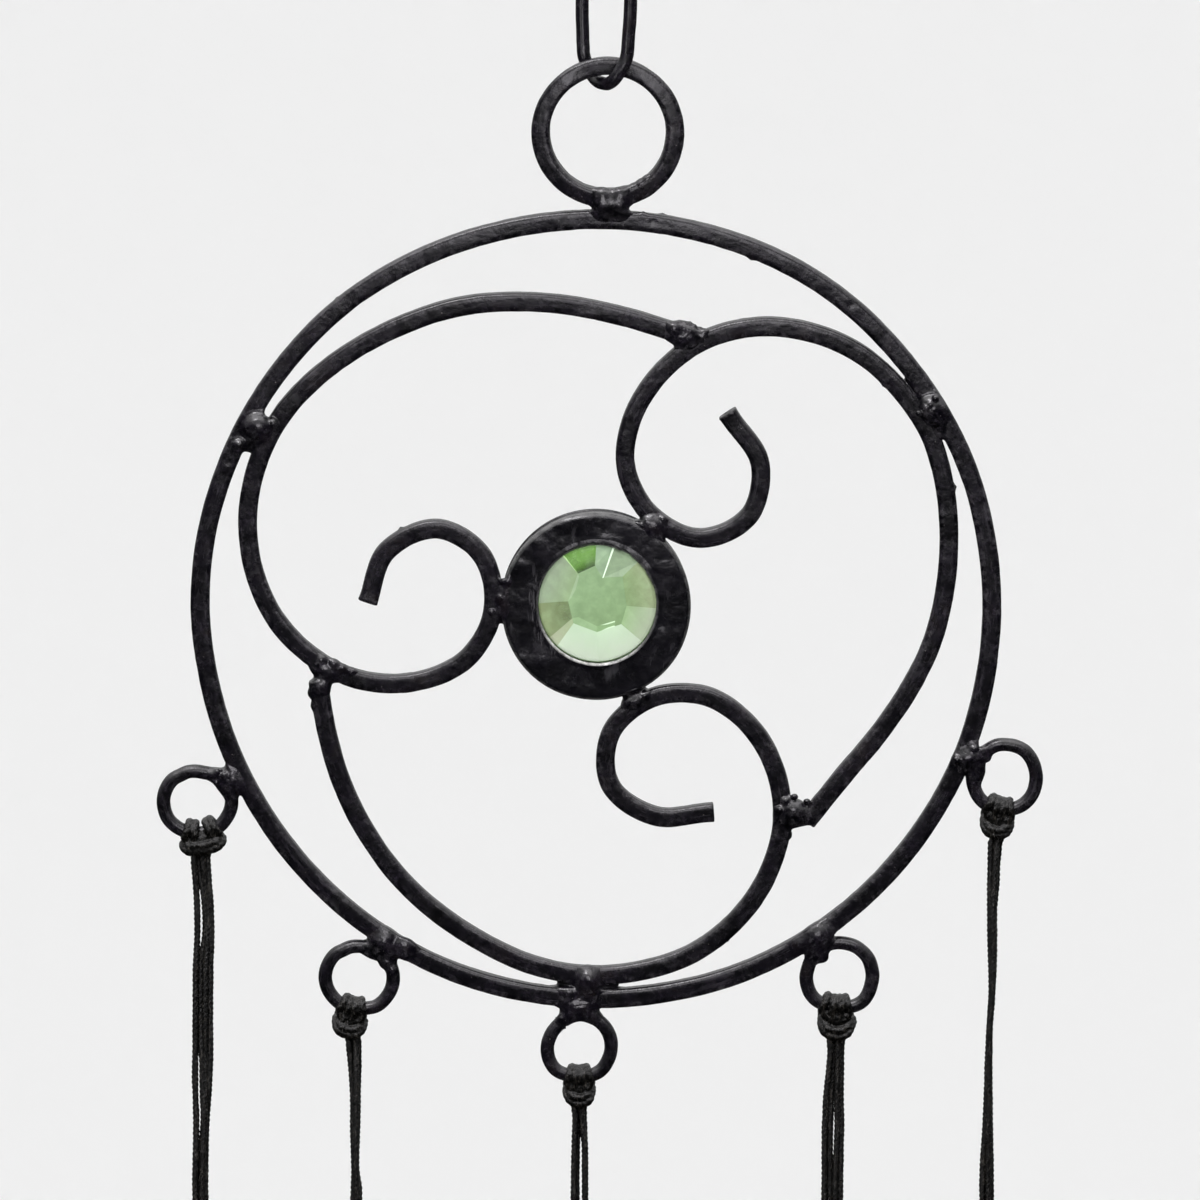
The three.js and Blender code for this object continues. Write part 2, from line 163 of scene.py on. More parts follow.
def smooth_step(a, b, x):
    t = np.clip((x - a) / (b - a), 0, 1)
    return t * t * (3 - 2 * t)


# ---- lines --------------------------------------------------------------------------------------
def spline(points, per=24):
    """A centripetal Catmull-Rom line through the points."""
    P = np.array(points, float)
    P = np.vstack([2 * P[0] - P[1], P, 2 * P[-1] - P[-2]])
    out = []
    for i in range(1, len(P) - 2):
        p0, p1, p2, p3 = P[i - 1], P[i], P[i + 1], P[i + 2]
        d0, d1, d2 = (max(np.linalg.norm(b - a), 1e-6) ** 0.5 for a, b in ((p0, p1), (p1, p2), (p2, p3)))
        t1 = ((p1 - p0) / d0 - (p2 - p0) / (d0 + d1) + (p2 - p1) / d1) * d1
        t2 = ((p2 - p1) / d1 - (p3 - p1) / (d1 + d2) + (p3 - p2) / d2) * d1
        t = (np.arange(per) / per)[:, None]
        out.append(p1 + t1 * t + (-3 * p1 + 3 * p2 - 2 * t1 - t2) * t**2 + (2 * p1 - 2 * p2 + t1 + t2) * t**3)
    out.append(P[-2][None])
    return np.vstack(out)


def along(line):
    return np.concatenate([[0], np.cumsum(np.linalg.norm(np.diff(line, axis=0), axis=1))])


def resample(line, step):
    s = along(line)
    at = np.linspace(0, s[-1], max(3, int(round(s[-1] / step)) + 1))
    return np.stack([np.interp(at, s, line[:, k]) for k in range(line.shape[1])], axis=1)


def tangents(line, closed=False):
    if closed:
        t = np.roll(line, -1, axis=0) - np.roll(line, 1, axis=0)
    else:
        t = np.gradient(line, axis=0)
    return t / np.maximum(np.linalg.norm(t, axis=1, keepdims=True), 1e-9)


def carried_frames(line, first=None):
    """Two directions across a line that turn as little as they can along it."""
    t = tangents(line)
    n = np.zeros_like(t)
    ref = np.array(first if first is not None else ((0, 1, 0) if abs(t[0][1]) < 0.9 else (1, 0, 0)), float)
    v = ref - t[0] * (ref @ t[0])
    n[0] = v / np.linalg.norm(v)
    for i in range(1, len(t)):
        v = n[i - 1] - t[i] * (n[i - 1] @ t[i])
        n[i] = v / max(np.linalg.norm(v), 1e-9)
    return t, n, np.cross(t, n)


# ---- meshes -------------------------------------------------------------------------------------
def grid_faces(rings, around, closed_rings=False, offset=0):
    i = np.arange(rings if closed_rings else rings - 1)[:, None]
    j = np.arange(around)[None, :]
    i2, j2 = (i + 1) % rings, (j + 1) % around
    quad = np.stack(np.broadcast_arrays(i * around + j, i2 * around + j, i2 * around + j2, i * around + j2), axis=-1)
    return (quad.reshape(-1, 4) + offset).tolist()


class Shape:
    """Vertices, faces, and for each vertex a wear value and its place along and around its bar, put together piece by piece."""

    def __init__(self):
        self.verts, self.faces, self.wear, self.lay, self.count = [], [], [], [], 0

    def add(self, verts, faces, wear=None, lay=None):
        verts = np.asarray(verts, float).reshape(-1, 3)
        self.faces += [[k + self.count for k in f] for f in faces]
        self.verts.append(verts)
        self.wear.append(np.zeros(len(verts)) if wear is None else np.asarray(wear, float).reshape(-1))
        if lay is not None:
            self.lay.append(np.asarray(lay, float).reshape(-1, 3))
        self.count += len(verts)
        return self

    def build(self, name, material, body, slot, nodes=(), flat=False, ride=True):
        verts = np.vstack(self.verts)
        mesh = bpy.data.meshes.new(name)
        mesh.from_pydata((verts * MM).tolist(), [], self.faces)
        mesh.update()
        volume = signed_volume(verts, self.faces)
        if volume < 0:
            mesh.flip_normals()
        mesh.polygons.foreach_set("use_smooth", [not flat] * len(mesh.polygons))
        wear = mesh.attributes.new("wear", "FLOAT", "POINT")
        wear.data.foreach_set("value", np.concatenate(self.wear).astype(np.float32))
        if self.lay:
            mesh.attributes.new("lay", "FLOAT_VECTOR", "POINT").data.foreach_set("vector", np.vstack(self.lay).astype(np.float32).ravel())
        mesh.materials.append(material)
        o = bpy.data.objects.new(name, mesh)
        bpy.context.scene.collection.objects.link(o)
        if ride:
            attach(o, body)
        if nodes:
            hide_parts(*nodes)
        return o


def signed_volume(verts, faces):
    total = 0.0
    by_size = {}
    for f in faces:
        by_size.setdefault(len(f), []).append(f)
    for n, fs in by_size.items():
        f = np.array(fs)
        for k in range(1, n - 1):
            a, b, c = verts[f[:, 0]], verts[f[:, k]], verts[f[:, k + 1]]
            total += float((a * np.cross(b, c)).sum())
    return total


def swept(line, n, b, sections, closed=False, ends=((0.0, 1.0),), t=None):
    """A section swept along a line: sections is (rings, around, 2) in directions n and b. ends rounds both ends off."""
    rings, around = sections.shape[:2]
    if closed:
        v = line[:, None] + sections[..., :1] * n[:, None] + sections[..., 1:] * b[:, None]
        return v.reshape(-1, 3), grid_faces(rings, around, True)
    t = tangents(line) if t is None else t
    head = [(line[0] - t[0] * out, n[0], b[0], sections[0] * k) for out, k in reversed(ends[1:])]
    tail = [(line[-1] + t[-1] * out, n[-1], b[-1], sections[-1] * k) for out, k in ends[1:]]
    every = head + [(line[i], n[i], b[i], sections[i]) for i in range(rings)] + tail
    v = np.array([p + s[:, :1] * nn + s[:, 1:] * bb for p, nn, bb, s in every])
    m = len(every)
    verts = np.vstack([v.reshape(-1, 3), v[0].mean(0)[None], v[-1].mean(0)[None]])
    faces = grid_faces(m, around)
    a, z = m * around, m * around + 1
    faces += [[(j + 1) % around, j, a] for j in range(around)]
    faces += [[(m - 1) * around + j, (m - 1) * around + (j + 1) % around, z] for j in range(around)]
    return verts, faces


ROUND_END = ((0.0, 1.0), (0.16, 0.93), (0.27, 0.78), (0.32, 0.5))


def tube(points, radius, step=0.3, around=14, closed=False, first=None, ends=ROUND_END, lumps=0.0, seed=0, smooth=True):
    """A round wire through points; lumps is how far its skin wanders."""
    line = resample(spline(points) if smooth else np.asarray(points, float), step)
    t, n, b = carried_frames(line, first)
    a = np.arange(around) / around * 2 * math.pi
    ring = np.stack([np.cos(a), np.sin(a)], axis=-1)
    sections = np.repeat(ring[None], len(line), axis=0) * radius
    if lumps:
        skin = line[:, None] + sections[..., :1] * n[:, None] + sections[..., 1:] * b[:, None]
        sections = sections * (1 + lumps / radius * fbm(skin, 2.2, 3, seed))[..., None]
    return swept(line, n, b, sections, ends=ends, t=t)


def strand(points, radius=STRAND, step=0.26, around=12, phase=0.0, lay=2.6, seed=0, first=None, ends=ROUND_END, smooth=True):
    """One strand of cord: three plies laid up, their grooves winding along it."""
    line = resample(spline(points) if smooth else np.asarray(points, float), step)
    t, n, b = carried_frames(line, first)
    s = along(line)
    a = np.arange(around)[None] / around * 2 * math.pi
    wind = 3 * (a - 2 * math.pi * s[:, None] / lay - phase)
    wobble = 1 + 0.07 * noise(np.stack([s, 0 * s + seed, 0 * s], axis=-1), 2.6, seed)[:, None] + 0.05 * noise(np.stack([s, 0 * s + seed, 0 * s], axis=-1), 0.9, seed + 1)[:, None]
    r = radius * wobble * (1 + 0.12 * np.cos(wind) - 0.03 * np.cos(2 * wind))
    sections = np.stack([np.cos(a) * r, np.sin(a) * r], axis=-1)
    return swept(line, n, b, sections, ends=ends, t=t)


def lathe_y(profile, cx, cz, around, wobble=None):
    """A ring turned about the Y axis from a closed profile of (radius, y)."""
    p = np.asarray(profile, float)
    a = np.arange(around) / around * 2 * math.pi
    r = p[None, :, 0]
    y = np.repeat(p[None, :, 1], around, axis=0)
    v = np.stack([r * np.cos(a)[:, None], y, r * np.sin(a)[:, None]], axis=-1)
    if wobble is not None:
        v = wobble(v)
    v = v + np.array([cx, 0, cz])
    return v.reshape(-1, 3), grid_faces(around, len(p), True)


def lathe_z(profile, cx, cz, around, bend=None):
    """A piece turned about a vertical axis from a closed profile of (radius, z)."""
    p = np.asarray(profile, float)
    a = np.arange(around) / around * 2 * math.pi
    v = np.stack([p[None, :, 0] * np.cos(a)[:, None], p[None, :, 0] * np.sin(a)[:, None], np.repeat(p[None, :, 1], around, axis=0)], axis=-1)
    if bend is not None:
        v = bend(v)
    return (v + np.array([cx, 0, cz])).reshape(-1, 3), grid_faces(around, len(p), True)


def surface_net(field, origin, h):
    """Quads on the zero level of a field, one vertex in each cell that it crosses."""
    inside = field < 0
    nx, ny, nz = field.shape
    corner = [(a, b, c) for a in (0, 1) for b in (0, 1) for c in (0, 1)]
    cut = lambda v, o: v[o[0]: nx - 1 + o[0], o[1]: ny - 1 + o[1], o[2]: nz - 1 + o[2]]
    count = sum(cut(inside, o).astype(np.int8) for o in corner)
    mixed = (count > 0) & (count < 8)
    total, hits = np.zeros((*mixed.shape, 3)), np.zeros(mixed.shape)
    for o in corner:
        for axis in range(3):
            if o[axis]:
                continue
            q = tuple(1 if k == axis else o[k] for k in range(3))
            fa, fb = cut(field, o), cut(field, q)
            cross = (fa < 0) != (fb < 0)
            t = np.where(cross, fa / np.where(cross, fa - fb, 1), 0)
            for k in range(3):
                total[..., k] += np.where(cross, o[k] + (t if k == axis else 0), 0)
            hits += cross
    index = np.full(mixed.shape, -1)
    index[mixed] = np.arange(mixed.sum())
    cells = np.argwhere(mixed)
    verts = origin + h * (cells + total[mixed] / np.maximum(hits[mixed], 1)[:, None])
    faces = []
    for axis in range(3):
        u, w = (axis + 1) % 3, (axis + 2) % 3
        a = np.take(inside, range(field.shape[axis] - 1), axis)
        b = np.take(inside, range(1, field.shape[axis]), axis)
        at = np.argwhere(a != b)
        at = at[(at[:, u] > 0) & (at[:, w] > 0) & (at[:, u] < field.shape[u] - 1) & (at[:, w] < field.shape[w] - 1)]
        quad = []
        for du, dw in ((-1, -1), (0, -1), (0, 0), (-1, 0)):
            c = at.copy()
            c[:, u] += du
            c[:, w] += dw
            quad.append(index[c[:, 0], c[:, 1], c[:, 2]])
        quad = np.stack(quad, axis=-1)
        flip = a[at[:, 0], at[:, 1], at[:, 2]]
        quad[~flip] = quad[~flip][:, ::-1]
        faces.append(quad)
    faces = np.vstack(faces)
    return verts, faces[(faces >= 0).all(1)].tolist()


def waxed_together(strands, seed, h=0.13, lay=2.6, soften=2):
    """One skin over strands (points, radius) that are drawn so tight that their wax has run together."""
    lines = [(resample(spline(points), 0.24), radius) for points, radius in strands]
    lo = np.min([line.min(0) for line, _ in lines], axis=0) - 1.3
    hi = np.max([line.max(0) for line, _ in lines], axis=0) + 1.3
    size = np.ceil((hi - lo) / h).astype(int) + 1
    axes = [lo[k] + h * np.arange(size[k]) for k in range(3)]
    field = np.full(size, 1.5)
    for which, (line, radius) in enumerate(lines):
        t, n, b = carried_frames(line)
        s = along(line)
        thick = radius * (1 + 0.08 * noise(np.stack([s, 0 * s + which, 0 * s], axis=-1), 1.6, seed + which))
        for k in range(len(line) - 1):
            first = np.maximum(0, np.floor((np.minimum(line[k], line[k + 1]) - radius - 0.8 - lo) / h).astype(int))
            last = np.minimum(size, np.ceil((np.maximum(line[k], line[k + 1]) + radius + 0.8 - lo) / h).astype(int) + 1)
            block = tuple(slice(a, z) for a, z in zip(first, last))
            p = np.stack(np.meshgrid(*[axes[j][block[j]] for j in range(3)], indexing="ij"), axis=-1)
            d = line[k + 1] - line[k]
            f = np.clip(((p - line[k]) @ d) / (d @ d), 0, 1)
            off = p - line[k] - f[..., None] * d
            wind = 3 * (np.arctan2(off @ b[k], off @ n[k]) - 2 * math.pi * (s[k] + f * (s[k + 1] - s[k])) / lay)
            far = np.linalg.norm(off, axis=-1) - thick[k] * (1 + 0.13 * np.cos(wind))
            field[block] = np.minimum(field[block], far)
    for _ in range(soften):
        for axis in range(3):
            field = (np.roll(field, 1, axis) + 2 * field + np.roll(field, -1, axis)) / 4
    p = np.stack(np.meshgrid(*axes, indexing="ij"), axis=-1)
    field = field - 0.05 * noise(p, 1.1, seed + 5) - 0.045 * noise(p, 0.5, seed + 6)
    return surface_net(field, lo, h)


# ---- materials ----------------------------------------------------------------------------------
class Nodes:
    def __init__(self, name):
        self.material = bpy.data.materials.new(name)
        self.material.use_nodes = True
        self.tree = self.material.node_tree
        self.shader = next(n for n in self.tree.nodes if n.type == "BSDF_PRINCIPLED")
        where = self.tree.nodes.new("ShaderNodeTexCoord")
        self.mm = self.tree.nodes.new("ShaderNodeMapping")
        self.mm.inputs["Scale"].default_value = (1000, 1000, 1000)
        self.tree.links.new(where.outputs["Object"], self.mm.inputs["Vector"])

    def link(self, a, b):
        self.tree.links.new(a, b)
        return a

    def stretch(self, scale, turn=(0, 0, 0)):
        m = self.tree.nodes.new("ShaderNodeMapping")
        m.inputs["Scale"].default_value = scale
        m.inputs["Rotation"].default_value = [math.radians(x) for x in turn]
        self.link(self.mm.outputs[0], m.inputs["Vector"])
        return m.outputs[0]

    def noise(self, size, detail=4.0, rough=0.55, warp=0.0, at=None):
        n = self.tree.nodes.new("ShaderNodeTexNoise")
        n.inputs["Scale"].default_value = 1.0 / size
        n.inputs["Detail"].default_value = detail
        n.inputs["Roughness"].default_value = rough
        n.inputs["Distortion"].default_value = warp
        self.link(at or self.mm.outputs[0], n.inputs["Vector"])
        return n.outputs["Fac"]

    def cells(self, size, feature="F1", at=None, out="Distance"):
        n = self.tree.nodes.new("ShaderNodeTexVoronoi")
        n.feature = feature
        n.inputs["Scale"].default_value = 1.0 / size
        self.link(at or self.mm.outputs[0], n.inputs["Vector"])
        return n.outputs[out]

    def waves(self, size, at=None, warp=0.0, kind="BANDS", direction="X"):
        n = self.tree.nodes.new("ShaderNodeTexWave")
        n.wave_type = kind
        n.bands_direction = direction
        n.inputs["Scale"].default_value = 1.0 / size
        n.inputs["Distortion"].default_value = warp
        self.link(at or self.mm.outputs[0], n.inputs["Vector"])
        return n.outputs["Fac"]

    def ramp(self, value, stops):
        n = self.tree.nodes.new("ShaderNodeValToRGB")
        e = n.color_ramp.elements
        while len(e) < len(stops):
            e.new(0.5)
        for k, (at, c) in zip(e, stops):
            k.position = at
            k.color = (*c, 1) if hasattr(c, "__len__") else (c, c, c, 1)
        self.link(value, n.inputs["Fac"])
        return n.outputs["Color"]

    def math(self, kind, a, b):
        n = self.tree.nodes.new("ShaderNodeMath")
        n.operation = kind
        for socket, v in zip(n.inputs, (a, b)):
            if isinstance(v, (int, float)):
                socket.default_value = v
            else:
                self.link(v, socket)
        return n.outputs[0]

    def mix(self, fac, a, b):
        n = self.tree.nodes.new("ShaderNodeMix")
        n.data_type = "RGBA"
        if isinstance(fac, (int, float)):
            n.inputs["Factor"].default_value = fac
        else:
            self.link(fac, n.inputs["Factor"])
        for socket, v in ((n.inputs[6], a), (n.inputs[7], b)):
            if isinstance(v, tuple):
                socket.default_value = (*v, 1)
            else:
                self.link(v, socket)
        return n.outputs[2]

    def wear(self):
        n = self.tree.nodes.new("ShaderNodeAttribute")
        n.attribute_name = "wear"
        return n.outputs["Fac"]

    def bump(self, height, strength, distance, before=None):
        n = self.tree.nodes.new("ShaderNodeBump")
        n.inputs["Strength"].default_value = strength
        n.inputs["Distance"].default_value = distance * MM
        self.link(height, n.inputs["Height"])
        if before is not None:
            self.link(before, n.inputs["Normal"])
        return n.outputs["Normal"]

    def set(self, **sockets):
        names = dict(color="Base Color", rough="Roughness", metal="Metallic", normal="Normal", ior="IOR", shine="Specular IOR Level",
                     coat="Coat Weight", coat_rough="Coat Roughness", clear="Transmission Weight", sheen="Sheen Weight", sheen_rough="Sheen Roughness")
        for k, v in sockets.items():
            socket = self.shader.inputs[names[k]]
            if isinstance(v, (int, float)):
                socket.default_value = v
            elif isinstance(v, tuple):
                socket.default_value = (*v, 1)
            else:
                self.link(v, socket)
        return self.material


def iron(name, smooth, grain, dust, bar=False, shine=0.5):
    """Black enamel over iron: mottled blue-black and brown-black, dust specks, rubbed edges. A bar has scuffs
    drawn out along it; a bead of weld has a pebbled crust."""
    m = Nodes(name)
    broad = m.ramp(m.noise(5.5, 3.0, warp=0.5), [(0.32, (0.0006, 0.0006, 0.0011)), (0.46, (0.0012, 0.0011, 0.0022)), (0.58, (0.0028, 0.0022, 0.0044)), (0.72, (0.0062, 0.0045, 0.0052))])
    fine = m.ramp(m.noise(0.75, 5.0, 0.65), [(0.46, 0.0), (0.72, 1.0)])
    fine = m.math("MULTIPLY", fine, m.ramp(m.noise(3.2, 2.0), [(0.38, 0.0), (0.66, 1.0)]))
    color = m.mix(m.math("MULTIPLY", fine, 0.6), broad, (0.0255, 0.0205, 0.0305))
    speck = m.ramp(m.cells(1.35), [(0.045, 1.0), (0.085, 0.0)])
    some = m.ramp(m.noise(2.6, 1.0), [(0.55, 0.0), (0.61, 1.0)])
    speck = m.math("MULTIPLY", speck, some)
    color = m.mix(m.math("MULTIPLY", speck, dust), color, (0.115, 0.105, 0.100))
    rub = m.math("MULTIPLY", m.wear(), m.ramp(m.noise(1.1, 4.0, 0.7), [(0.46, 0.0), (0.70, 1.0)]))
    color = m.mix(rub, color, (0.050, 0.047, 0.052))
    scuff = m.math("MULTIPLY", m.ramp(m.noise(3.4, 5.0, 0.7, 0.8), [(0.60, 0.0), (0.72, 1.0)]), 0.22)
    rough = m.math("ADD", m.math("ADD", m.math("MULTIPLY", m.noise(2.1, 4.0, 0.6), 0.22), smooth), scuff)
    rough = m.math("ADD", rough, m.math("MULTIPLY", speck, 0.25))
    normal = m.bump(m.noise(0.42, 4.0, 0.65), 0.34 * grain, 0.10)
    normal = m.bump(m.noise(1.7, 3.0, 0.5), 0.20 * grain, 0.26, normal)
    normal = m.bump(m.noise(4.0, 2.0, 0.5), 0.17 * grain, 0.60, normal)
    if bar:
        where = m.tree.nodes.new("ShaderNodeAttribute")
        where.attribute_name = "lay"
        streak = m.noise(0.62, 4.0, 0.65, 0.3, where.outputs["Vector"])
        drawn = m.math("MULTIPLY", m.ramp(streak, [(0.52, 0.0), (0.68, 1.0)]), m.ramp(m.noise(7.5, 2.0), [(0.46, 0.0), (0.64, 1.0)]))
        color = m.mix(m.math("MULTIPLY", drawn, 0.35), color, (0.0430, 0.0370, 0.0490))
        rough = m.math("ADD", rough, m.math("MULTIPLY", drawn, 0.14))
        normal = m.bump(streak, 0.15, 0.08, normal)
    else:
        pebble = m.math("MULTIPLY", m.cells(0.85), m.ramp(m.noise(2.2, 2.0), [(0.48, 0.0), (0.66, 1.0)]))
        normal = m.bump(pebble, 0.40, 0.16, normal)
    return m.set(color=color, rough=rough, normal=normal, ior=1.45, shine=shine, metal=0.0)


def worn_iron(name):
    """The bezel's enamel: as the bars, scuffed round the stone, with bare metal on the inner lip and a painted
    highlight along the lip's lower part, where it faces up.
    """
    m = Nodes(name)
    broad = m.ramp(m.noise(5.0, 3.0, warp=0.5), [(0.32, (0.0009, 0.0009, 0.0015)), (0.50, (0.0018, 0.0017, 0.0030)), (0.64, (0.0042, 0.0038, 0.0058)), (0.76, (0.0150, 0.0140, 0.0168))])
    fine = m.ramp(m.noise(0.5, 5.0, 0.65), [(0.48, 0.0), (0.78, 1.0)])
    color = m.mix(m.math("MULTIPLY", fine, 0.4), broad, (0.0150, 0.0138, 0.0165))
    smear = m.ramp(m.noise(1.0, 3.0, 0.6, 0.3, m.stretch((0.55, 1.0, 0.16), (0, 24, 0))), [(0.60, 0.0), (0.74, 1.0)])
    patch = m.ramp(m.noise(6.0, 1.0), [(0.50, 0.0), (0.62, 1.0)])
    scuff = m.math("MULTIPLY", smear, patch)
    color = m.mix(m.math("MULTIPLY", scuff, 0.5), color, (0.040, 0.038, 0.044))
    where = m.tree.nodes.new("ShaderNodeAttribute")
    where.attribute_name = "scratch"
    hair = m.ramp(m.noise(1.0, 3.0, 0.7, 0.4, m.stretch((3.4, 1.0, 0.34), (0, -10, 0))), [(0.52, 0.0), (0.66, 1.0)])
    scratch = m.math("MULTIPLY", hair, where.outputs["Fac"])
    color = m.mix(m.math("MULTIPLY", scratch, 0.6), color, (0.085, 0.082, 0.088))
    # bare metal round the inner lip, much lighter along its lower part: partly wear, partly a painted highlight where
    # the lip faces up
    bare_lip_and_highlight = m.math("MULTIPLY", m.wear(), m.ramp(m.noise(1.1, 4.0, 0.7), [(0.32, 0.0), (0.56, 1.0)]))
    color = m.mix(bare_lip_and_highlight, color, (0.52, 0.52, 0.50))
    rough = m.math("ADD", m.math("MULTIPLY", m.noise(2.4, 4.0, 0.6), 0.26), 0.12)
    rough = m.math("ADD", rough, m.math("MULTIPLY", scuff, 0.14))
    normal = m.bump(m.noise(0.45, 4.0, 0.6), 0.16, 0.10)
    normal = m.bump(m.noise(3.4, 3.0, 0.5), 0.42, 0.55, normal)
    normal = m.bump(hair, 0.08, 0.05, normal)
    return m.set(color=color, rough=rough, normal=normal, ior=1.45, shine=0.5, metal=0.0)


def waxed_cord(name):
    """Waxed black cord: dull fibre grooves, with wax that shines along the tops of the plies, and lighter flecks
    painted along it as glints of the wax.
    """
    m = Nodes(name)
    fibre = m.noise(0.26, 5.0, 0.75, 0.2)
    color = m.mix(m.ramp(fibre, [(0.36, 0.0), (0.72, 1.0)]), (0.0004, 0.0004, 0.0004), (0.0042, 0.0039, 0.0035))
    dust = m.ramp(m.noise(0.9, 4.0, 0.7, 0.0, m.stretch((1.0, 1.0, 0.3))), [(0.54, 0.0), (0.70, 1.0)])
    color = m.mix(m.math("MULTIPLY", dust, 0.55), color, (0.0240, 0.0210, 0.0170))
    # painted glints: lighter flecks stretched along the cord, with bumps in the same pattern
    painted_glint_fleck = m.noise(0.36, 3.0, 0.6, 0.2, m.stretch((1.0, 1.0, 0.28)))
    color = m.mix(m.math("MULTIPLY", m.ramp(painted_glint_fleck, [(0.55, 0.0), (0.68, 1.0)]), 0.6), color, (0.0440, 0.0400, 0.0350))
    rough = m.math("ADD", m.math("MULTIPLY", m.noise(0.6, 4.0, 0.6), 0.30), 0.08)
    normal = m.bump(fibre, 0.8, 0.14)
    normal = m.bump(painted_glint_fleck, 0.7, 0.16, normal)
    normal = m.bump(m.noise(0.7, 3.0, 0.5), 0.6, 0.20, normal)
    return m.set(color=color, rough=rough, normal=normal, ior=1.45, shine=0.38, metal=0.0)


def aged_brass(name):
    """Turned brass gone dull: brown patina in blotches and stains, brighter where it is rubbed."""
    m = Nodes(name)
    blotch = m.ramp(m.noise(4.5, 5.0, 0.6, 0.6), [(0.34, 0.0), (0.64, 1.0)])
    color = m.mix(blotch, (0.205, 0.128, 0.050), (0.46, 0.305, 0.115))
    stain = m.ramp(m.noise(1.2, 5.0, 0.7), [(0.54, 0.0), (0.72, 1.0)])
    color = m.mix(m.math("MULTIPLY", stain, 0.6), color, (0.095, 0.062, 0.032))
    rub = m.math("MULTIPLY", m.wear(), m.ramp(m.noise(0.8, 4.0, 0.65), [(0.38, 0.0), (0.6, 1.0)]))
    color = m.mix(rub, color, (0.78, 0.58, 0.27))
    verdigris = m.ramp(m.noise(2.1, 4.0, 0.65, 0.4), [(0.66, 0.0), (0.74, 1.0)])
    color = m.mix(m.math("MULTIPLY", verdigris, 0.35), color, (0.10, 0.135, 0.085))
    rough = m.math("ADD", m.math("MULTIPLY", m.noise(1.6, 5.0, 0.65), 0.34), 0.20)
    rough = m.math("ADD", rough, m.math("MULTIPLY", stain, 0.16))
    turning = m.waves(0.35, direction="Z", warp=1.2)
    normal = m.bump(turning, 0.10, 0.03)
    normal = m.bump(m.noise(0.5, 5.0, 0.6), 0.22, 0.06, normal)
    return m.set(color=color, rough=rough, normal=normal, metal=1.0)


def green_glass(name):
    """Pale green pressed glass, a little uneven in its colour, coloured per face corner from an attribute that holds
    each facet's painted light and shade.
    """
    m = Nodes(name)
    n = m.tree.nodes.new("ShaderNodeAttribute")
    n.attribute_name = "facet_light_paint"
    cloud = m.ramp(m.noise(1.6, 3.0, 0.6, 0.3), [(0.40, 0.0), (0.75, 0.16)])
    color = m.mix(cloud, n.outputs["Color"], (0.56, 0.80, 0.46))
    normal = m.bump(m.noise(1.8, 2.0), 0.04, 0.05)
    return m.set(color=color, rough=0.015, normal=normal, ior=1.52, metal=0.0, clear=0.5)


IRON = iron("black_enamel", 0.14, 1.0, 0.7, bar=True)
WELD = iron("weld_enamel", 0.08, 0.85, 0.4, shine=0.55)
BEZEL_IRON = worn_iron("scuffed_enamel")
CORD = waxed_cord("waxed_cord")
BRASS = aged_brass("aged_brass")
GLASS = green_glass("green_glass")


# ---- cords, hitches and knots -------------------------------------------------------------------
def hanger(i):
    """The ring wire's centre under hitch i, and the hitch's lean."""
    cx, cz, deg = RINGS[i]
    a = math.radians(deg)
    return cx - RING_R * math.sin(a), cz - RING_R * math.cos(a), a


